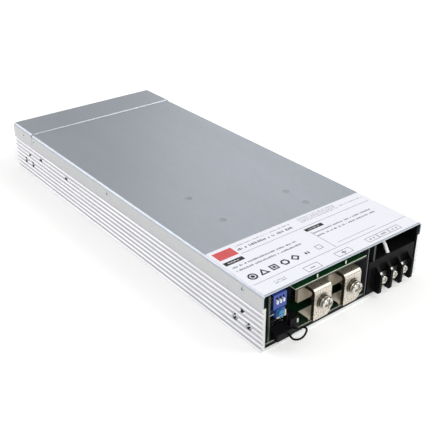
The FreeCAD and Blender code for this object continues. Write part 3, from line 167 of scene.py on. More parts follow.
def remap(tree, value, start, end, low=0.0, high=1.0, curve="LINEAR"):
    """A value that runs from start to end, made to run from low to high, straight or on a named curve."""
    inputs = {"Value": value, "From Min": start, "From Max": end, "To Min": low, "To Max": high}
    return add_node(tree, "ShaderNodeMapRange", inputs, interpolation_type=curve).outputs[0]


def mix_tones(tree, share, *tones):
    """The first tone turning into the second as the share grows; a tone is a hex value or an output."""
    first, second = (linear(tone) if isinstance(tone, str) else tone for tone in tones)
    return add_node(tree, "ShaderNodeMix", {0: share, 6: first, 7: second}, data_type="RGBA").outputs[2]


print("mid grey 808080 in linear light:", np.round(linear("808080"), 3))

# %% [markdown]
# ## The white studio
# The unit stands on a white sweep: paper that lies flat and curls up far away, so that no horizon shows.
# The room above it lights it with an even, darker white, and only to the eye it is plain white. Metal
# shows what it faces: the upright walls face the paper and look bright, and the flat top faces the room
# and looks greyer, as in the picture.

# %% World
ROOM_LIGHT = 0.45
scene.view_settings.view_transform = "Standard"
scene.world = bpy.data.worlds.new("white_room")
scene.world.use_nodes = True
tree = scene.world.node_tree
eye = add_node(tree, "ShaderNodeLightPath").outputs["Is Camera Ray"]
strength = calculate(tree, "MULTIPLY_ADD", eye, 1 - ROOM_LIGHT, ROOM_LIGHT)
feed(tree, tree.nodes["Background"], {"Color": (1, 1, 1, 1), "Strength": strength})
print("even light of the room:", ROOM_LIGHT)

# %% [markdown]
# The sweep is a profile turned round the upright axis: a flat disc, then a quarter circle up to a low
# rim. It lies a tenth of a millimetre below the case, so that paper and case never share a plane.

# %% Paper sweep
FLAT_RINGS = (0.0, 0.6, 1.4)
FLAT_RADIUS = 3.0
RIM_HEIGHT = 0.4
PAPER_DROP = 0.1 * MM
SPOKES = 72


def revolved(radius, height, columns, lean=0):
    """A profile turned round the upright axis: each radius and height makes a ring of points.

    The first point of a ring lies `lean` degrees from the X axis.
    """
    turn = np.linspace(0, 2 * np.pi, columns, endpoint=False) + np.radians(lean)
    x, y = radius[:, None] * np.cos(turn), radius[:, None] * np.sin(turn)
    return np.stack([x, y, height[:, None] + 0 * turn], axis=-1)


rise = np.linspace(0, np.pi / 2, 9)
radius = np.concatenate([FLAT_RINGS, FLAT_RADIUS + RIM_HEIGHT * np.sin(rise)])
height = np.concatenate([np.zeros(len(FLAT_RINGS)), RIM_HEIGHT * (1 - np.cos(rise))]) - PAPER_DROP
rings = revolved(radius, height, SPOKES)
row, column = np.meshgrid(np.arange(len(radius) - 1), np.arange(SPOKES), indexing="ij")
after = (column + 1) % SPOKES
here = row * SPOKES
quads = np.stack([here + column, here + SPOKES + column, here + SPOKES + after, here + after], axis=-1)
sheet = bpy.data.meshes.new("paper_sweep")
sheet.from_pydata(rings.reshape(-1, 3).tolist(), [], quads.reshape(-1, 4).tolist())
sheet.shade_smooth()
new_object("paper_sweep", sheet)
print("paper is flat to", FLAT_RADIUS, "m and rises to", RIM_HEIGHT, "m")

# %% [markdown]
# The paper is matt and takes the soft shadow of the case. A little light of its own brings it up to white
# without lighting the object, because only the eye and what gloss and glass show can see that light. The
# light path node tells these rays from the others.

# %% Matt paper
paper = bpy.data.materials.new("matt_white_paper")
paper.use_nodes = True
tree = paper.node_tree
shader = tree.nodes["Principled BSDF"]
feed(tree, shader, {"Base Color": linear("f0f0ef"), "Roughness": 0.9, "Specular IOR Level": 0.0})
ray = add_node(tree, "ShaderNodeLightPath")
direct = calculate(tree, "MAXIMUM", ray.outputs["Is Camera Ray"], ray.outputs["Is Glossy Ray"])
seen = calculate(tree, "MAXIMUM", direct, ray.outputs["Is Transmission Ray"])
print("paper has", len(tree.nodes), "shader nodes so far")

# %% [markdown]
# That light is lower within a hand's breadth of the case, a painted shadow round its foot, as where an
# object keeps the room's light off paper. The shader takes the gap between a spot and the outline of the
# case, and an S-shaped step, whose middle lies at the foot of the case, turns the gap into strength. Far
# from the lamps the paper gets some more light, for the eye alone, so that it stays white to the rim.

# %% Glow of the paper
GLOW_BESIDE, GLOW_OPEN, GLOW_REACH = 0.26, 0.37, 0.13
FAR_START, FAR_END, FAR_WHITE = 0.6, 1.6, 0.5
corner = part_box("chassis")[1]
place = add_node(tree, "ShaderNodeTexCoord")
apart = add_node(tree, "ShaderNodeVectorMath", {0: place.outputs["Object"]}, operation="ABSOLUTE")
beyond = add_node(
    tree, "ShaderNodeVectorMath", {0: apart.outputs[0], 1: (corner.x, corner.y, 1)}, operation="SUBTRACT"
)
clear = add_node(tree, "ShaderNodeVectorMath", {0: beyond.outputs[0], 1: (0, 0, 0)}, operation="MAXIMUM")
gap = add_node(tree, "ShaderNodeVectorMath", {0: clear.outputs[0]}, operation="LENGTH").outputs["Value"]
# Painted shadow: the paper's own light sinks to GLOW_BESIDE at the outline of the case.
level = remap(tree, gap, -GLOW_REACH, GLOW_REACH, 2 * GLOW_BESIDE - GLOW_OPEN, GLOW_OPEN, "SMOOTHSTEP")
glow = calculate(tree, "MULTIPLY", seen, level)
far = remap(tree, gap, FAR_START, FAR_END, high=FAR_WHITE)
shown = calculate(tree, "MULTIPLY_ADD", ray.outputs["Is Camera Ray"], far, glow)
feed(tree, shader, {"Emission Color": (1, 1, 1, 1), "Emission Strength": shown})
sheet.materials.append(paper)
print("glow beside the case:", GLOW_BESIDE, "and on open paper:", GLOW_OPEN)

# %% [markdown]
# Four softboxes stand round it. The key, above the right front, is what the bends of the terminals, the
# screw heads and the step of the rear cover flash back at the eye. A large one behind on the left draws
# the bright band along the left fold and a bright line on the upper slope of every rib, because those
# are the surfaces that mirror it to the eye. A weak one behind on the right gives the flat top its sheen,
# and a low one in front looks into the opening.

# %% Lamps
def soft_box(name, place, size, watts):
    """A square area lamp that faces the middle of the case."""
    lamp = bpy.data.lights.new(name, "AREA")
    lamp.shape = "SQUARE"
    lamp.size = size
    lamp.energy = watts
    holder = new_object(name, lamp)
    holder.location = place
    holder.rotation_mode = "QUATERNION"
    holder.rotation_quaternion = (-Vector(place)).to_track_quat("-Z", "Y")
    print(name, watts, "W")


soft_box("key_softbox", (0.85, -0.7, 1.0), size=0.8, watts=6.5)
soft_box("rib_softbox", (-0.6, 1.13, 1.0), size=1.2, watts=8.0)
soft_box("sheen_softbox", (1.0, 1.0, 0.8), size=0.7, watts=0.9)
soft_box("front_softbox", (-0.45, -1.15, 0.75), size=0.6, watts=6.3)

# %% [markdown]
# ## Finishes
# Most real surfaces share one build: two close tones that drift into each other in soft patches, and a
# finer grain that roughens the gloss and lifts the surface a little. What differs is the size of the
# patches and the grain, and their direction. An extrusion or a rolled sheet is streaked along its
# length, so there the pattern is stretched along Y with a Mapping node.

# %% A finish from patches and grain
# Nearly all values of a noise lie between these two.
NOISE_LOW, NOISE_HIGH = 0.3, 0.7
# A face points along an axis when that part of its normal is near one; between these two it fades in.
FACE_FROM, FACE_TO = 0.85, 0.95


def finish(name, tones, patch, roughness, relief, grain=0.6, metallic=0.0, stretch=(1, 1, 1), **sockets):
    """A material of two tones mixed in patches of `patch` mm, with a grain of `grain` mm.

    The grain is a noise in object space; it swings the roughness between two values and is the height,
    up to `relief` mm, of the bump. Stretch divides the frequency along an axis, which draws it out.
    """
    material = bpy.data.materials.new(name)
    material.use_nodes = True
    tree = material.node_tree
    place = add_node(tree, "ShaderNodeTexCoord")
    drawn = add_node(
        tree, "ShaderNodeMapping", {"Vector": place.outputs["Object"], "Scale": [1 / s for s in stretch]}
    )
    noise = {"Vector": drawn.outputs[0]}
    patches = add_node(tree, "ShaderNodeTexNoise", noise | {"Scale": 1 / (patch * MM), "Detail": 3.0})
    grains = add_node(tree, "ShaderNodeTexNoise", noise | {"Scale": 1 / (grain * MM), "Detail": 2.0})
    tone = mix_tones(tree, patches.outputs[0], *tones)
    gloss = remap(tree, grains.outputs[0], NOISE_LOW, NOISE_HIGH, *roughness)
    lift = {"Height": grains.outputs[0], "Strength": 1.0, "Distance": relief * MM}
    bump = add_node(tree, "ShaderNodeBump", lift)
    inputs = {"Base Color": tone, "Roughness": gloss, "Normal": bump.outputs[0], "Metallic": metallic}
    inputs |= {socket.replace("_", " "): constant for socket, constant in sockets.items()}
    feed(tree, tree.nodes["Principled BSDF"], inputs)
    return material


def along(tree, kind, axis):
    """The part along an axis of a spot's place (kind "Object") or of its normal (kind "Normal")."""
    place = tree.nodes["Texture Coordinate"]
    return add_node(tree, "ShaderNodeSeparateXYZ", {0: place.outputs[kind]}).outputs[axis]


def cross_faces(material, axis, colour):
    """Give the faces across an axis a tone of their own; the normal along the axis tells them apart."""
    tree = material.node_tree
    base = tree.nodes["Principled BSDF"].inputs["Base Color"]
    across = calculate(tree, "ABSOLUTE", along(tree, "Normal", axis))
    share = remap(tree, across, FACE_FROM, FACE_TO)
    tree.links.new(mix_tones(tree, share, base.links[0].from_socket, colour), base)


# %% [markdown]
# Metals come first. A metal has no colour below its surface: its tone tints what it mirrors, and its
# roughness says how sharp the mirror picture is. Sawn ends get a tone of their own by the way they point,
# and so do faces painted lighter or darker as painted shade: the flanges of the cover, the level faces and
# sheared edges of the terminal bars, and the rims of the washers.

# %% Metals
# Extruded aluminium, etched and clear anodised: satin, nearly white, with faint die lines along the case.
# Real lines are a few hundredths of a millimetre apart; 0.7 mm makes them show. The sawn ends are bright.
extruded_aluminium = finish(
    "extruded_aluminium_clear_anodised", ("c0c0c4", "cccccf"),
    patch=9, grain=0.7, roughness=(0.28, 0.38), relief=0.006, metallic=1.0, stretch=(1, 60, 1),
)
cross_faces(extruded_aluminium, "Y", "e6e8e7")
# Rolled aluminium sheet with a satin surface: flat grey, finely streaked along the rolling direction.
rolled_aluminium = finish(
    "rolled_aluminium_sheet_satin", ("bcc2ca", "c7cdd6"),
    patch=40, grain=0.9, roughness=(0.36, 0.48), relief=0.004, metallic=1.0, stretch=(1, 6, 1),
)
# The side flanges, which face the bright paper, get a neutral grey of their own: painted shade that holds
# their reflection down.
cross_faces(rolled_aluminium, "X", "c9cacb")
# The same sheet in its dimples, a darker grey: painted shade of the shallow hollows.
dimple_shade_aluminium = finish(
    "rolled_aluminium_dimple_shade", ("a9adb3", "b7bbc1"),
    patch=2, roughness=(0.3, 0.42), relief=0.006, metallic=1.0,
)
# Steel screws, bright zinc plated: clear silver with small bright and dull spots.
zinc_plated_steel = finish(
    "zinc_plated_steel", ("b4b7ba", "d6d9dc"),
    patch=1.2, grain=0.5, roughness=(0.2, 0.34), relief=0.006, metallic=1.0,
)
# Slots and shanks of the side screws: dark oxide, nearly without sheen.
black_oxide_steel = finish(
    "black_oxide_steel", ("08090a", "111214"),
    patch=1.0, grain=0.5, roughness=(0.4, 0.55), relief=0.006, Specular_IOR_Level=0.08,
)
# Screws of the fans: zinc under a black passivation, with a metallic sheen.
black_zinc_steel = finish(
    "black_zinc_steel", ("1c1d1f", "2f3033"),
    patch=1.0, grain=0.5, roughness=(0.32, 0.45), relief=0.006, metallic=0.8,
)
print("materials so far:", len(bpy.data.materials))

# %% [markdown]
# The terminals carry the current on plated copper, with hardened washers, solder and tin.

# %% Metals of the terminals
# Copper bars under plated nickel, pressed and bent: a warm pale metal with soft smears. The level faces are
# painted darker, painted shade under the board above; the sheared side edges are dark brown: bare copper,
# deepened with painted shade.
nickel_plated_bar = finish(
    "nickel_plated_copper_bar", ("d2cabb", "e6dfd2"),
    patch=6, grain=0.9, roughness=(0.26, 0.29), relief=0.003, metallic=0.5,
)
cross_faces(nickel_plated_bar, "Z", "a0988a")
cross_faces(nickel_plated_bar, "X", "453c31")
# Turned and plated screws, nuts and clamps: the same nickel, smoother.
nickel_plated_steel = finish(
    "nickel_plated_steel", ("c2bfb7", "e4e2dc"),
    patch=1.5, grain=0.5, roughness=(0.16, 0.28), relief=0.005, metallic=1.0,
)
# Hardened washers under the screws: steel painted dark as painted shade, darkest round the rim, with a
# brighter steel tone on the faces across Y.
shaded_washer_steel = finish(
    "washer_steel_painted_shade", ("4a4741", "6d6961"),
    patch=1.5, grain=0.5, roughness=(0.22, 0.34), relief=0.008, metallic=1.0,
)
cross_faces(shaded_washer_steel, "Y", "c6c1b6")
# Feet of the terminals: dipped in solder, a matt coat painted creamy white as painted light that falls on
# them.
solder_painted_light = finish(
    "solder_cream_painted_light", ("efe6cf", "fff8e8"), patch=2, roughness=(0.34, 0.5), relief=0.02
)
# Tinned bars inside: dull and a little brown from heat.
tinned_copper = finish(
    "tinned_copper_bar", ("dccdb6", "f4e8d6"),
    patch=5, grain=0.7, roughness=(0.34, 0.5), relief=0.008, metallic=0.4,
)
# Solder and tinned pins: bright grey with soft ripples.
bright_tin = finish(
    "bright_tin", ("c4c3bb", "e6e5df"), patch=1.0, roughness=(0.18, 0.3), relief=0.02, metallic=1.0
)
# Brass spacers, nickel plated and turned.
plated_brass = finish(
    "nickel_plated_brass", ("bdb59c", "d3ccb6"),
    patch=2, grain=0.5, roughness=(0.22, 0.34), relief=0.005, metallic=1.0,
)
print("materials so far:", len(bpy.data.materials))

# %% [markdown]
# Plastics and sheets are not metal, so their colour comes from below the surface and their gloss from a
# thin reflection on top. Moulded plastic has the fine spark-eroded texture of its mould, a few hundredths
# of a millimetre deep, and drawn here coarse enough to show.

# %% Sheets and large mouldings
# Printed polyester label: smooth, cool white, with a slight gloss and a trace of adhesive waviness.
polyester_label = finish(
    "polyester_label_white", ("f2f3fb", "f7f8ff"), patch=30, grain=3, roughness=(0.36, 0.44), relief=0.01
)
# Insulating sheet: black polypropylene film with a calendered satin face.
polypropylene_black = finish(
    "polypropylene_sheet_black", ("060709", "0d0f11"),
    patch=14, grain=0.9, roughness=(0.42, 0.55), relief=0.01, Specular_IOR_Level=0.12,
)
# Partition: grey vulcanised fibre; its cut edges across Y are painted paler as a painted highlight.
fibre_grey = finish(
    "vulcanised_fibre_grey", ("24262b", "33353b"), patch=5, grain=0.7, roughness=(0.45, 0.6), relief=0.012
)
cross_faces(fibre_grey, "Y", "5a5b60")
# Fan frames and blades: glass-filled PBT, a worn black, slightly flowed.
pbt_black = finish(
    "pbt_moulded_black", ("2b2d30", "3b3e42"), patch=8, grain=0.8, roughness=(0.4, 0.55), relief=0.015
)
# Terminal block: phenolic moulding, black, with a pressed gloss on its corners.
phenolic_black = finish(
    "phenolic_moulded_black", ("0c0c0d", "151516"),
    patch=5, grain=0.7, roughness=(0.26, 0.38), relief=0.012, Specular_IOR_Level=0.06,
)
# The tips of its barriers took the polish of the mould: the same black, glossy enough to flash.
phenolic_polished = finish(
    "phenolic_polished_black", ("0d0e10", "17181b"),
    patch=2, roughness=(0.1, 0.18), relief=0.004, IOR=2.2, Specular_IOR_Level=1.0,
)
print("materials so far:", len(bpy.data.materials))

# %% [markdown]
# The small parts in the opening come next, then the wires and what stands deep inside.

# %% Small parts, wires and inner parts
# Connector housings: black nylon.
nylon_black = finish(
    "nylon_moulded_black", ("0b0b0d", "151518"),
    patch=4, roughness=(0.34, 0.5), relief=0.012, Specular_IOR_Level=0.12,
)
# Switch body: cobalt blue nylon; its side faces across X are painted dark navy as painted shade.
nylon_cobalt = finish(
    "nylon_moulded_cobalt", ("2a3f8f", "4258ac"), patch=3, roughness=(0.3, 0.42), relief=0.01
)
cross_faces(nylon_cobalt, "X", "10183a")
# Switch levers: white acetal.
acetal_white = finish("acetal_white", ("e8eaee", "f7f8fa"), patch=2, roughness=(0.28, 0.4), relief=0.008)
# Trimmer body: blue thermoset.
thermoset_blue = finish(
    "thermoset_blue", ("23498f", "3362a8"), patch=2, roughness=(0.28, 0.42), relief=0.012
)
# Trimmer rotor: a lighter teal thermoset.
thermoset_teal = finish(
    "thermoset_teal", ("3a7ba8", "579cc0"), patch=2, roughness=(0.28, 0.42), relief=0.012
)
# Lugs of the trimmer: glazed ceramic, cream.
ceramic_cream = finish("ceramic_cream", ("d8cfb9", "f0e9d8"), patch=2, roughness=(0.4, 0.55), relief=0.015)
# Light pipe of the status lamp: milky polycarbonate.
polycarbonate_milky = finish(
    "polycarbonate_milky", ("c9cecb", "e4e8e6"), patch=1, grain=0.5, roughness=(0.15, 0.25), relief=0.005
)
# Wire insulation: extruded PVC, black, nearly matt.
pvc_black = finish(
    "pvc_insulation_black", ("0a0b0c", "141517"),
    patch=4, roughness=(0.36, 0.48), relief=0.01, Specular_IOR_Level=0.12,
)
# Sleeve of the pale lead: woven glass fibre under silicone.
silicone_white = finish(
    "silicone_sleeve_white", ("f0f0ec", "fbfbf9"), patch=3, grain=0.5, roughness=(0.42, 0.55), relief=0.02
)
# Power transistors: black moulding compound.
epoxy_black = finish(
    "epoxy_moulded_black", ("161719", "242528"), patch=3, roughness=(0.5, 0.65), relief=0.015
)
# Ferrite cores: sintered dark grey, matt.
ferrite_grey = finish("ferrite_sintered", ("26262a", "3a3a3f"), patch=4, roughness=(0.55, 0.7), relief=0.02)
# Windings under polyester tape: amber, with the wire turns showing through as ribs across the coil.
taped_winding = finish(
    "taped_winding_amber", ("a8802a", "d3a53f"),
    patch=4, grain=0.9, roughness=(0.25, 0.4), relief=0.05, stretch=(1, 20, 1),
)
# Capacitor sleeves: shrunk PVC film, dark navy.
pvc_sleeve_navy = finish(
    "pvc_sleeve_navy", ("141a2b", "202a42"), patch=6, grain=0.8, roughness=(0.2, 0.32), relief=0.008
)
print("materials so far:", len(bpy.data.materials))

# %% [markdown]
# ## Circuit boards
# A board is a glass-fibre plate under a green lacquer. The lacquer covers only the two faces; the sawn
# edges show the plate itself. Along one arris the edge is pale, bare fibre where the lacquer is broken,
# lightened as a painted highlight into the thin bright line that outlines every board in the picture;
# beyond it the edge is painted dark as shade, and each board's pale tone is set for the light on its edge.
# The way a face points tells faces and edges apart: the shader reads the normal along the board's thin
# direction, and the distance from the arris.

# %% Boards
# The pale band along the arris is a painted highlight, the dark tone beyond it painted shade.
HIGHLIGHT_DEPTH = 0.5 * MM
HIGHLIGHT_FROM, HIGHLIGHT_TO = 1.4, 0.8
EDGE_SHADE_TONE = "0d110c"


def board_finish(node, thin_axis, arris, pale, lacquer_tones=("08210f", "10371f")):
    """Green lacquer on the faces; on the sawn edges pale glass fibre near the arris, dark beyond it.

    The arris is the low (0) or high (1) face of the node along its thin axis. `pale` is its colour, bare
    glass fibre lifted as a painted highlight, which fades in between HIGHLIGHT_FROM and HIGHLIGHT_TO times
    the highlight depth; beyond it EDGE_SHADE_TONE is painted shade.
    """
    name = "circuit_board_" + node.removesuffix("_board")
    material = finish(name, lacquer_tones, patch=5, grain=0.7, roughness=(0.24, 0.38), relief=0.01)
    tree = material.node_tree
    base = tree.nodes["Principled BSDF"].inputs["Base Color"]
    flat = calculate(tree, "ABSOLUTE", along(tree, "Normal", thin_axis))
    face = getattr(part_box(node)[arris], thin_axis.lower())
    depth = HIGHLIGHT_DEPTH if arris == 0 else -HIGHLIGHT_DEPTH
    spot = along(tree, "Object", thin_axis)
    near = remap(tree, spot, face + depth * HIGHLIGHT_FROM, face + depth * HIGHLIGHT_TO)
    sawn = mix_tones(tree, near, EDGE_SHADE_TONE, pale)
    tree.links.new(mix_tones(tree, flat, sawn, base.links[0].from_socket), base)
    return material


# Thin axis, arris and pale tone of each board's edge, a painted highlight set for the light on that edge,
# and, where they are its own, the tones of its lacquer.
BOARDS = {
    "main_board": ("Z", 1, "a3ab98"),
    "output_board": ("Z", 1, "d0ddc2", ("0c2d17", "174a2a")),
    "control_board": ("X", 1, "50584b"),
    "inlet_board": ("X", 0, "383d36", ("141a17", "262e2a")),
}
boards = [(board_finish(node, *look), [node]) for node, look in BOARDS.items()]
print("boards:", [material.name for material, _ in boards])

# %% [markdown]
# ## Every solid piece gets its finish
# The table names the solid pieces of each material. A piece has one material slot, which is replaced. The
# solid screws, wires and lamp are not in it: the scene's own pieces stand for them.

# %% Dress the solid pieces
WORN_BY = [
    (extruded_aluminium, ["chassis", "heat_spreaders"]),
    (rolled_aluminium, ["top_cover", "fan_cover", "rear_panel"]),
    (zinc_plated_steel, ["nut_plates", "board_screws"]),
    (polyester_label, ["rating_label"]),
    (polypropylene_black, ["insulation_liner"]),
    (fibre_grey, ["partition"]),
    (pbt_black, ["fan_frame_left", "fan_frame_right", "fan_rotor_left", "fan_rotor_right"]),
    *boards,
    (plated_brass, ["board_spacers", "output_board_posts"]),
    (nylon_cobalt, ["dip_switch_body"]),
    (acetal_white, ["dip_lever_1", "dip_lever_2", "dip_lever_3"]),
    (bright_tin, ["component_pins"]),
    (thermoset_blue, ["trimmer_body"]),
    (thermoset_teal, ["trimmer_rotor"]),
    (nylon_black, ["signal_header", "signal_plug", "link_socket"]),
    (nickel_plated_bar, ["dc_terminal_negative", "dc_terminal_positive"]),
    (nickel_plated_steel, ["dc_nuts", "ac_clamp_1", "ac_clamp_2", "ac_clamp_3"]),
    # The contacts of the block wear the dark washer steel as painted shade on their upper ends.
    (shaded_washer_steel, ["dc_washers_1", "dc_washers_2", "ac_contacts"]),
    (tinned_copper, ["dc_bus_bars"]),
    (phenolic_black, ["ac_terminal_block"]),
    (epoxy_black, ["transistors"]),
    (ferrite_grey, ["transformer_cores", "chokes"]),
    (taped_winding, ["transformer_windings"]),
    (pvc_sleeve_navy, ["bulk_capacitors", "output_capacitors"]),
]
dressed = set()
for material, names in WORN_BY:
    for name in names:
        nodes[name].data.materials.clear()
        nodes[name].data.materials.append(material)
        dressed.add(name)
jumper.data.materials.append(pvc_black)
lead.data.materials.append(silicone_white)
print("dressed:", len(dressed), "stood for by other pieces:", sorted(set(nodes) - dressed))

# %% [markdown]
# ## From a grid of points to a mesh
# Each new piece below is a surface over two parameters: rows that run along it and columns that run
# round it. Numpy works out all the points at once. A row that shrinks to a single point closes the end,
# and merging the doubled points there leaves a clean pole.

# %% Grids to meshes
def make_piece(name, grids, material, body="housing", stands_for=(), crease=35):
    """Join grids of points, in mm, into one closed mesh.

    A grid has the shape copies, rows, columns, 3 and is closed round its columns. Each point makes a
    quad with the next point of its row and the two below. Edges sharper than `crease` degrees stay sharp.
    """
    points = []
    quads = []
    start = 0
    for grid in grids:
        copies, rows, columns = grid.shape[:3]
        copy, row, column = np.meshgrid(
            np.arange(copies), np.arange(rows - 1), np.arange(columns), indexing="ij"
        )
        after = (column + 1) % columns
        base = start + (copy * rows + row) * columns
        corners = [base + column, base + after, base + columns + after, base + columns + column]
        quads.append(np.stack(corners, axis=-1).reshape(-1, 4))
        points.append(grid.reshape(-1, 3))
        start += copies * rows * columns
    mesh = bpy.data.meshes.new(name)
    mesh.from_pydata((np.concatenate(points) * MM).tolist(), [], np.concatenate(quads).tolist())
    work = bmesh.new()
    work.from_mesh(mesh)
    bmesh.ops.remove_doubles(work, verts=work.verts, dist=1e-7)
    bmesh.ops.recalc_face_normals(work, faces=work.faces)
    work.to_mesh(mesh)
    work.free()
    mesh.shade_smooth()
    mesh.set_sharp_from_angle(angle=np.radians(crease))
    mesh.materials.append(material)
    piece = new_object(name, mesh)
    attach(piece, body)
    if stands_for:
        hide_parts(*stands_for)
    print(name, len(mesh.polygons), "faces")


# %% [markdown]
# ## Screws with a pressed cross
# The screws of the cover, the fans and the terminals have a cross recess, and the recess is what makes a
# small disc read as a screw. The head is a surface turned round the screw's axis; the cross is a second
# function over the same grid, one inside the arms and zero outside, with a soft step between, and it
# lowers the dome.

# %% The screw surface
EDGE_SHARE = 0.45
FOOT_RADIUS, FOOT_RISE = 0.97, 0.08
ARM_STEP, END_STEP = 0.3, 0.5


def smooth_step(value, width):
    """One well below zero, zero well above, with an S-shaped change over the width."""
    share = np.clip(0.5 - value / width, 0, 1)
    return share * share * (3 - 2 * share)


def cross_screw(head, rise, shank, length, cross, flare=None, columns=64):
    """A screw along its own axis, height 0 at the seat, as a grid of one copy.

    The dome is a flat cap whose edge turns down on a fourth-power curve to EDGE_SHARE of the rise. From
    its middle the rows run out over the dome, down the edge with a fine bevel at its foot, in to the shank
    and along it to a point. A countersunk screw has a flare instead of the edge: the rows run straight
    from the head's rim in to the shank. The cross is given by its arm, width and depth.
    """
    arm, width, depth = cross
    reach = np.concatenate([np.linspace(0, 0.72, 20), np.linspace(0.76, 1.0, 8)]) * head
    if flare is None:
        curve = np.sqrt(np.clip(1 - (reach / head) ** 4, 0, 1))
        dome = rise * (EDGE_SHARE + (1 - EDGE_SHARE) * curve)
        radius = np.concatenate([reach, [head, head * FOOT_RADIUS, shank, shank, 0]])
        height = np.concatenate([dome, [rise * FOOT_RISE, 0, 0, -length, -length]])
    else:
        dome = np.full_like(reach, rise)
        radius = np.concatenate([reach, [shank, shank, 0]])
        height = np.concatenate([dome, [rise - flare, -length, -length]])
    grid = revolved(radius, height, columns)
    across, up = np.abs(grid[..., 0]), np.abs(grid[..., 1])
    one = smooth_step(across - width / 2, ARM_STEP) * smooth_step(up - arm / 2, END_STEP)
    other = smooth_step(up - width / 2, ARM_STEP) * smooth_step(across - arm / 2, END_STEP)
    top = len(reach)
    grid[:top, :, 2] -= depth * np.maximum(one, other)[:top]
    return grid[None]


def turned(grid, seats, outward):
    """Copies of a screw with its axis along `outward`, one at each seat."""
    axis = np.array(outward, float)
    level = np.array([0, 0, 1.0])
    side = np.cross(level, axis)
    aimed = grid[..., :1] * side + grid[..., 1:2] * level + grid[..., 2:] * axis
    return aimed + np.array(seats, float)[:, None, None, :]


def both_sides(grid, reach, places):
    """Copies of a screw on both side walls, `reach` from the middle, at each y and z, head outwards."""
    return [turned(grid, [(way * reach, y, z) for y, z in places], (way, 0, 0)) for way in (-1, 1)]


# %% [markdown]
# The countersunk screws of the covers lie flush on both sides, and four round heads hold each fan.

# %% Screws of the covers and fans
WALL_FACE = 71.0
COVER_SCREWS = [(-149.0, 35.9), (7.7, 35.9), (129.6, 35.9), (149.3, 35.9)]
countersunk = cross_screw(head=2.7, rise=0.0, shank=1.4, length=2.7, cross=(2.9, 0.85, 1.0), flare=0.9)
make_piece(
    "cover_screw_heads", both_sides(countersunk, WALL_FACE, COVER_SCREWS), zinc_plated_steel,
    stands_for=["cover_screws"],
)

FAN_X = (-34, 34)
FAN_Z = 21.3
FAN_SCREW = (-15.7, 15.7)
REAR_FACE = 168.0
fan_screw = cross_screw(head=2.6, rise=1.7, shank=1.45, length=8.0, cross=(3.0, 0.7, 1.1))
fan_seats = [(middle + x, REAR_FACE, FAN_Z + z) for middle in FAN_X for x in FAN_SCREW for z in FAN_SCREW]
make_piece(
    "fan_screw_heads", [turned(fan_screw, fan_seats, (0, 1, 0))], black_zinc_steel,
    stands_for=["fan_screws"],
)

# %% [markdown]
# The terminal screws can be backed out, so each one is a piece of its own that rides its own body.

# %% Screws of the terminals
def pole_screws(label, body, grid, poles, seat):
    """One screw for each pole, at its x and the y and z of the seat, with its head to the front."""
    for number, x in enumerate(poles, start=1):
        make_piece(
            f"{label}_{number}", [turned(grid, [(x, *seat)], (0, -1, 0))], nickel_plated_steel,
            body=f"{body}_{number}", stands_for=[f"{body}_{number}"],
        )


dc_screw = cross_screw(head=4.5, rise=3.3, shank=2.4, length=11.0, cross=(6.0, 1.5, 2.2))
pole_screws("dc_screw_head", "dc_screw", dc_screw, poles=(-21.75, 4.95), seat=(-171.3, 17.4))
ac_screw = cross_screw(head=3.0, rise=2.1, shank=1.7, length=9.0, cross=(3.8, 0.85, 1.2))
pole_screws("block_screw_head", "ac_screw", ac_screw, poles=(34.125, 44.575, 55.025), seat=(-169.8, 10.7))

# %% [markdown]
# ## The print on the label
# The label is a white film with a layer of ink. Its layout is kept and its words are not: plain bars
# stand for the lines of print, with rules, fields and boxes round them. Each bar is a closed slab of ink
# two hundredths of a millimetre thick. The bars of a line have seeded lengths, so every run is the same.

# %% Ink slabs
LABEL_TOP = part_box("rating_label")[1].z / MM
INK = 0.02
INK_SUNK = 0.005


def slabs(fields, layer=0):
    """Thin closed boxes: a point below, four corners below, four above and a point above each field."""
    x0, x1, y0, y1 = np.array(fields, float).T
    x = np.stack([x0, x1, x1, x0], axis=-1)
    y = np.stack([y0, y0, y1, y1], axis=-1)
    middle_x, middle_y = (np.repeat(v.mean(axis=-1, keepdims=True), 4, axis=-1) for v in (x, y))
    low = np.full_like(x, LABEL_TOP + layer * INK - INK_SUNK)
    high = np.full_like(x, LABEL_TOP + (layer + 1) * INK)
    rows = [(middle_x, middle_y, low), (x, y, low), (x, y, high), (middle_x, middle_y, high)]
    return np.stack([np.stack(row, axis=-1) for row in rows], axis=1)


# %% [markdown]
# A line of print is a run of small bars. Boxes are four bars each, and the marks are flat rings.

# %% Lines, boxes and marks
MOST_BARS = 150
BAR_WIDTH = (0.18, 0.5)
BAR_HEIGHT = (0.7, 1.0)
LETTER_GAP, WORD_GAP, WORD_ENDS = 0.26, 1.1, 0.15


def words(x0, x1, y, height, seed):
    """Letter-like bars along a line from x0 to x1, in runs, with sizes drawn from a seeded generator.

    Widths, heights and gaps are shares of the line's height. WORD_ENDS is the share of bars that end a
    word and have the wider gap behind them. Bars that would pass x1 are left off.
    """
    draw = np.random.default_rng(seed)
    wide = draw.uniform(*BAR_WIDTH, MOST_BARS) * height
    tall = draw.choice(BAR_HEIGHT, MOST_BARS) * height
    gap = np.where(draw.random(MOST_BARS) < WORD_ENDS, WORD_GAP, LETTER_GAP) * height
    begin = x0 + np.concatenate([[0], np.cumsum(wide + gap)[:-1]])
    foot = np.full(MOST_BARS, y - height / 2)
    return np.stack([begin, begin + wide, foot, foot + tall], axis=-1)[begin + wide <= x1]


def frame_of(x0, x1, y0, y1, line=0.4):
    """Four bars that outline a box; the upright ones fit between the level ones."""
    return [
        (x0, x1, y0, y0 + line), (x0, x1, y1 - line, y1),
        (x0, x0 + line, y0 + line, y1 - line), (x1 - line, x1, y0 + line, y1 - line),
    ]


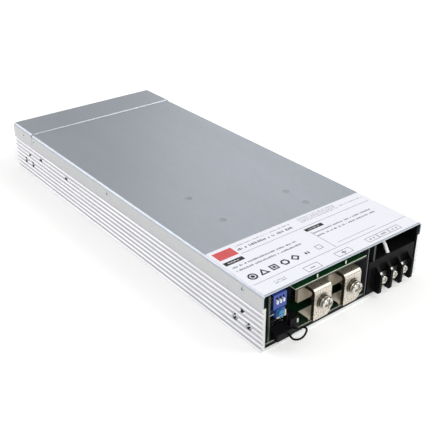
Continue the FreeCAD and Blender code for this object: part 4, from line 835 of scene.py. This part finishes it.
def outline_mark(x, y, outer, inner, corners, lean):
    """A flat ring or frame, turned by its lean: inner and outer edge, below and above, in a closed band."""
    radius = np.array([inner, outer, outer, inner, inner])
    level = LABEL_TOP + np.array([-INK_SUNK, -INK_SUNK, INK, INK, -INK_SUNK])
    return revolved(radius, level, corners, lean)[None] + (x, y, 0)


# %% [markdown]
# Three inks are printed. Black takes the larger lines, two filled fields with white lines over them, the
# signs at the terminals and a row of plain marks.

# %% Black print
black_ink = finish(
    "screen_ink_black", ("101115", "1f2025"), patch=3, grain=0.7, roughness=(0.4, 0.5), relief=0.004
)
dark_fields = [(-67.6, -52.6, -130.2, -126.4), (0.2, 16.2, -130.0, -126.6)]
signs = [(-28.6, -24.6, -163.4, -162.8), (-1.0, 3.0, -162.9, -162.3)]
signs += [(0.7, 1.3, -162.3, -160.6), (0.7, 1.3, -164.6, -162.9)]
# From x, to x, middle y and height of each line.
BLACK_LINES = [
    (-50, -2.5, -119.4, 2.2), (-66, -13, -134.2, 1.5), (-66, -13, -138.4, 1.5),
    (2.4, 57.5, -133.8, 1.4), (2.4, 57.5, -138.0, 1.4), (-19.5, -12.5, -148.4, 3.6),
]
# Middle x and y, outer and inner radius, corners and lean in degrees of each mark.
MARKS = [
    (-62.0, -148.4, 3.3, 2.1, 48, 0), (-62.0, -148.4, 1.4, 0.0, 24, 0), (-53.5, -149.0, 4.2, 2.0, 3, 90),
    (-45.0, -148.4, 3.9, 2.4, 4, 45), (-45.0, -148.4, 1.5, 0.0, 4, 45), (-36.0, -148.4, 3.3, 1.9, 6, 0),
    (-27.5, -148.4, 3.4, 1.8, 4, 0), (-7.0, -148.4, 3.2, 2.7, 4, 45),
]
print_rows = [words(*line, seed=seed) for seed, line in enumerate(BLACK_LINES, start=1)]
marks = [outline_mark(*mark) for mark in MARKS]
make_piece("label_fields", [slabs(np.concatenate([dark_fields, signs, *print_rows])), *marks], black_ink)

reversed_rows = [words(-64.8, -55.6, -128.3, 1.1, seed=9), words(3.2, 13.2, -128.3, 1.0, seed=10)]
make_piece("label_reversed_print", [slabs(np.concatenate(reversed_rows), layer=1)], polyester_label)

# %% [markdown]
# Grey takes the fine lines, the rules and the boxes at the terminals, and red one field in the corner.

# %% Grey and red print
grey_ink = finish(
    "screen_ink_grey", ("6d7078", "858890"), patch=3, grain=0.7, roughness=(0.4, 0.5), relief=0.004
)
red_ink = finish(
    "screen_ink_red", ("d2434a", "e0625f"), patch=4, grain=0.8, roughness=(0.38, 0.5), relief=0.004
)
POLES = 10.7 * np.arange(3)
fine_rows = [words(-49, -2, -115.2, 0.9, seed=7), words(43, 66, -117.6, 0.9, seed=8)]
fine_rows += [words(6, 41, y, 0.8, seed=20 + i) for i, y in enumerate((-113.8, -115.4, -117.0, -118.6))]
fine_rows += [words(-56, -47, y, 0.9, seed=30 + i) for i, y in enumerate((-160.4, -162.2))]
fine_rows += [words(25.2 + x, 30.5 + x, -162.2, 1.6, seed=40 + i) for i, x in enumerate(POLES)]
rules = [(-51, 66, -124.4, -124.05), (-67.8, 67.8, -156.0, -155.65), (1.6, 1.95, -155.0, -131.0)]
rules += [(6.5, 42.5, -152.0, -151.7)]
rules += frame_of(-32.5, -20.5, -165.8, -160.0) + frame_of(-5.5, 7.5, -165.2, -159.8)
for x in POLES:
    rules += frame_of(22.7 + x, 32.9 + x, -164.7, -159.7)
make_piece("label_rules", [slabs(np.concatenate([rules, *fine_rows]))], grey_ink)
make_piece("label_colour_field", [slabs([(-67.0, -52.0, -123.2, -114.2)])], red_ink)

# %% [markdown]
# The film is a little wider than the flat of the cover: its two long edges bend down over the folds. An
# edge is a short flat part and an arc about the centre of the fold, carried along the label. At both
# ends the section shrinks to its middle, which closes the piece.

# %% Edges of the label
def carried(section, places):
    """A closed section set at each place along a line, with both ends shrunk to its middle.

    Gives the two measures of the section and the place, each as rows of points.
    """
    places = np.array([places[0], *places, places[-1]])
    rows = np.repeat(section[None], len(places), axis=0)
    rows[[0, -1]] = section.mean(axis=0)
    return rows[..., 0], rows[..., 1], np.broadcast_to(places[:, None], rows.shape[:2])


COVER_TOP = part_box("top_cover")[1].z / MM
FOLD_RADIUS = 2.6
FOLD_CENTRE = np.array([WALL_FACE - FOLD_RADIUS, COVER_TOP - FOLD_RADIUS])
EDGE_BEND = 22
EDGE_FLAT = (0.45, 0)
FILM, FILM_SUNK = 0.09, 0.02
LABEL_FRONT, LABEL_BACK = -167.0, -111.2
bend = np.radians(np.linspace(0, EDGE_BEND, 6))
arc = np.stack([np.sin(bend), np.cos(bend)], axis=-1)
above = FOLD_CENTRE + (FOLD_RADIUS + FILM) * arc
below = FOLD_CENTRE + (FOLD_RADIUS - FILM_SUNK) * arc[::-1]
section = np.concatenate([above[:1] - EDGE_FLAT, above, below, below[-1:] - EDGE_FLAT])
x, z, y = carried(section, [LABEL_FRONT, LABEL_BACK])
edges = [np.stack([way * x, y, z], axis=-1)[None] for way in (-1, 1)]
make_piece("label_edges", edges, polyester_label)

# %% [markdown]
# ## The worked sheet of the covers
# Two small forms of the sheet catch the light. The rear cover laps over the main one, and its front edge
# is joggled down into a short slope, which mirrors the key lamp as one bright line across the case.

# %% Lip of the rear cover
FAN_COVER_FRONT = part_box("fan_cover")[0].y / MM
FAN_COVER_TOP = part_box("fan_cover")[1].z / MM
LIP_END = 68.3
lip_profile = (FAN_COVER_FRONT, 0) + np.array([
    (0.1, COVER_TOP + 0.02), (-0.65, COVER_TOP + 0.02), (-0.7, COVER_TOP + 0.1),
    (-0.05, FAN_COVER_TOP - 0.04), (0.1, FAN_COVER_TOP - 0.02),
])
y, z, x = carried(lip_profile, [-LIP_END, -30, 0, 30, LIP_END])
make_piece("rear_cover_lip", [np.stack([x, y, z], axis=-1)[None]], rolled_aluminium)

# %% [markdown]
# The round dimples of the main cover were pressed with soft shoulders, so their light and dark stay faint;
# the dish is painted a darker grey as painted shade.
# The depth follows the square of one minus the squared distance from the middle, which ends level.

# %% Dimples of the main cover
DIMPLE_RADIUS = 2.88
DIMPLE_DEPTH = 0.16
DIMPLE_FOOT = 0.4
DIMPLES = [(29.0, -99.0), (-33.0, -83.0), (29.0, -78.0), (-33.0, -43.0)]
reach = np.linspace(0, 1, 13)
bowl = COVER_TOP - 0.01 - DIMPLE_DEPTH * (1 - reach ** 2) ** 2
radius = DIMPLE_RADIUS * np.concatenate([reach, [0.97, 0]])
height = np.concatenate([bowl, [COVER_TOP - DIMPLE_FOOT, COVER_TOP - DIMPLE_FOOT]])
dish = revolved(radius, height, 48)
centres = np.array([(x, y, 0) for x, y in DIMPLES])[:, None, None]
make_piece("cover_dimples", [dish[None] + centres], dimple_shade_aluminium, crease=60)

# %% [markdown]
# ## Small parts on the boards
# Behind the front opening the boards carry chips, pins and other small parts. Each one is a block
# with rounded corners and edges, so that its rim catches a line of light. The block is a rounded
# rectangle carried upwards and drawn in at both ends along a quarter circle.

# %% Rounded blocks
def rounded_blocks(low, high, corner, edge, columns=32, steps=4):
    """Blocks from their low and high corners, with rounded corners and rounded upper and lower edges.

    Round each block a quarter circle of radius `corner` runs about each corner point. Along the height
    the outline is inset by edge * (1 - cos t) while it rises by edge * (1 - sin t), for a quarter turn t.
    """
    low, high = np.array(low, float), np.array(high, float)
    middle = (low + high) / 2
    half = (high - low) / 2
    turn = np.linspace(0, 2 * np.pi, columns, endpoint=False) + np.pi / columns
    quarter = np.linspace(0, np.pi / 2, steps)
    inward, upward = edge * (1 - np.sin(quarter)), edge * (1 - np.cos(quarter))
    inset = np.concatenate([inward, upward])
    lift = np.concatenate([upward, -inward])
    height = np.repeat([-1, 1], steps)
    reach_x = half[:, None, None, 0] - corner - inset[None, :, None]
    reach_y = half[:, None, None, 1] - corner - inset[None, :, None]
    x = middle[:, None, None, 0] + np.sign(np.cos(turn)) * reach_x + corner * np.cos(turn)
    y = middle[:, None, None, 1] + np.sign(np.sin(turn)) * reach_y + corner * np.sin(turn)
    z = middle[:, None, None, 2] + (height[None, :] * half[:, 2:3] + lift[None, :])[..., None] + 0 * x
    body = np.stack([x, y, z], axis=-1)
    foot = np.repeat(body[:, :1].mean(axis=2, keepdims=True), columns, axis=2)
    head = np.repeat(body[:, -1:].mean(axis=2, keepdims=True), columns, axis=2)
    return np.concatenate([foot, body, head], axis=1)


# %% [markdown]
# Twelve chips of seeded sizes stand in two rows on the output board, and a tinned pin beside each terminal.

# %% Parts on the output board
OUTPUT_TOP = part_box("output_board")[1].z / MM
CHIPS = 12
CHIP_ENDS = (-41, 14)
CHIP_ROWS = (-160.5, -157.5)
draw = np.random.default_rng(11)
length = draw.uniform(1.2, 3.0, CHIPS)
width = draw.uniform(1.0, 2.0, CHIPS)
tall = draw.uniform(0.6, 1.2, CHIPS)
spots = np.stack([np.linspace(*CHIP_ENDS, CHIPS), np.tile(CHIP_ROWS, CHIPS // 2)], axis=-1)
half = np.stack([length, width], axis=-1) / 2
low = np.column_stack([spots - half, np.full(CHIPS, OUTPUT_TOP)])
high = np.column_stack([spots + half, OUTPUT_TOP + tall])
chips = rounded_blocks(low, high, corner=0.2, edge=0.15, columns=16, steps=3)
make_piece("board_chips", [chips], epoxy_black)

PIN_STARTS = (-26.3, -1.5)
PIN_WIDTH, PIN_HEIGHT = 1.2, 3.0
PIN_FRONT, PIN_BACK = -166.9, -166.0
low = [(x, PIN_FRONT, OUTPUT_TOP) for x in PIN_STARTS]
high = [(x + PIN_WIDTH, PIN_BACK, OUTPUT_TOP + PIN_HEIGHT) for x in PIN_STARTS]
make_piece("board_pins", [rounded_blocks(low, high, corner=0.3, edge=0.25)], bright_tin)

# %% [markdown]
# The feet of the two terminals were dipped in solder, which lies on them as a thin coat with a soft rim,
# painted nearly white as painted light.
# Beside them the status lamp has a rounded window, and the trimmer two pale lugs.

# %% Solder, window and lugs
FOOT_TOP = 6.1
FOOT_STARTS = (-30.9, -4.2)
FOOT_WIDTH = 13.8
FOOT_FRONT, FOOT_BACK = -166.4, -157.1
SOLDER_SUNK, SOLDER_COAT = 0.1, 0.12
low = [(x, FOOT_FRONT, FOOT_TOP - SOLDER_SUNK) for x in FOOT_STARTS]
high = [(x + FOOT_WIDTH, FOOT_BACK, FOOT_TOP + SOLDER_COAT) for x in FOOT_STARTS]
make_piece("terminal_feet_solder", [rounded_blocks(low, high, corner=0.5, edge=0.08)], solder_painted_light)

window = rounded_blocks([(-42.9, -168.8, 9.9)], [(-41.6, -168.1, 12.7)], corner=0.25, edge=0.2)
make_piece("lamp_window", [window], polycarbonate_milky, stands_for=["status_led"])

low = [(-52.3, -167.4, 18.6), (-58.6, -167.3, 18.95)]
high = [(-51.2, -166.0, 23.0), (-56.1, -166.6, 19.8)]
make_piece("trimmer_lugs", [rounded_blocks(low, high, corner=0.3, edge=0.25)], ceramic_cream)

# %% [markdown]
# ## Slotted screws of the side walls
# The dark marks on each side wall are short bars: low down in leaning pairs, one above the other, and
# higher up single ones that lie along the case. They are read as flush screws with drive slots: a pale
# round face, a little sunk, and dark slots that run in to a dark shank.

# %% Flush side screws
BRACKET_SCREWS = [(-156.0, 12.85), (-142.7, 12.85), (136.7, 12.85), (150.0, 12.85)]
SPREADER_SCREWS = [(73.9, 22.4), (119.1, 22.4)]
FLUSH = 70.95
FACE_SUNK = 0.3
NO_CROSS = (1.0, 1.0, 0.0)


def flush_screws(name, node, places, seat, face_radius, bars, lean, reach):
    """Screws whose pale face lies in the wall, with dark slots that run in to a dark shank.

    A bar is its half width along Y and its lower and upper edge from the middle of the screw. The lean
    shears a bar: a point moves towards the front by the lean times its height above the bar's middle.
    """
    spots = [(way, y, z) for way in (-1, 1) for y, z in places]
    low = [(min(w * seat, w * FLUSH), y - half, z + foot) for w, y, z in spots for half, foot, _ in bars]
    high = [(max(w * seat, w * FLUSH), y + half, z + top) for w, y, z in spots for half, _, top in bars]
    slots = rounded_blocks(low, high, corner=0.15, edge=0.12, columns=16, steps=3)
    slots[..., 1] -= lean * (slots[..., 2] - slots[..., 2].mean(axis=(1, 2), keepdims=True))
    shank = cross_screw(head=1.5, rise=0.5, shank=1.4, length=reach, cross=NO_CROSS, columns=20)
    face = cross_screw(
        head=face_radius, rise=FLUSH - seat - FACE_SUNK, shank=1.0, length=0.02, cross=NO_CROSS, columns=40
    )
    heads = [slots, *both_sides(shank, seat, places)]
    make_piece(f"{name}_heads", heads, black_oxide_steel, stands_for=[node])
    make_piece(f"{name}_faces", both_sides(face, seat, places), zinc_plated_steel)


flush_screws(
    "bracket_screw", "bracket_screws", BRACKET_SCREWS, seat=69.4, face_radius=2.7,
    bars=[(0.72, -2.35, -0.4), (0.72, 0.4, 2.35)], lean=0.75, reach=3.1,
)
flush_screws(
    "spreader_screw", "heatsink_screws", SPREADER_SCREWS, seat=69.7, face_radius=2.25,
    bars=[(1.9, -0.75, 0.75)], lean=0.0, reach=5.9,
)

# %% [markdown]
# ## Tips of the barriers
# On the terminal block the sloping tips of the barriers are polished. A tip is a thin rounded pad, made
# flat and then laid on the slope, whose direction comes from its two ends.

# %% Polished tips of the barriers
BARRIER_X = 27.9 + 10.45 * np.arange(3)
BARRIER_WIDTH = 2.0
TIP_MARGIN = 0.05
TIP_START, TIP_END = 0.1, 2.0
TIP_SUNK, TIP_RISE = 0.1, 0.12
TIP_FRONT = np.array([-173.0, 17.4])
TIP_BACK = np.array([-167.9, 21.9])
up_slope = (TIP_BACK - TIP_FRONT) / np.linalg.norm(TIP_BACK - TIP_FRONT)
low = [(x + TIP_MARGIN, TIP_START, -TIP_SUNK) for x in BARRIER_X]
high = [(x + BARRIER_WIDTH - TIP_MARGIN, TIP_END, TIP_RISE) for x in BARRIER_X]
pads = rounded_blocks(low, high, corner=0.3, edge=0.1)
tips = np.stack([
    pads[..., 0], TIP_FRONT[0] + up_slope[0] * pads[..., 1] - up_slope[1] * pads[..., 2],
    TIP_FRONT[1] + up_slope[1] * pads[..., 1] + up_slope[0] * pads[..., 2],
], axis=-1)
make_piece("barrier_tips", [tips], phenolic_polished)
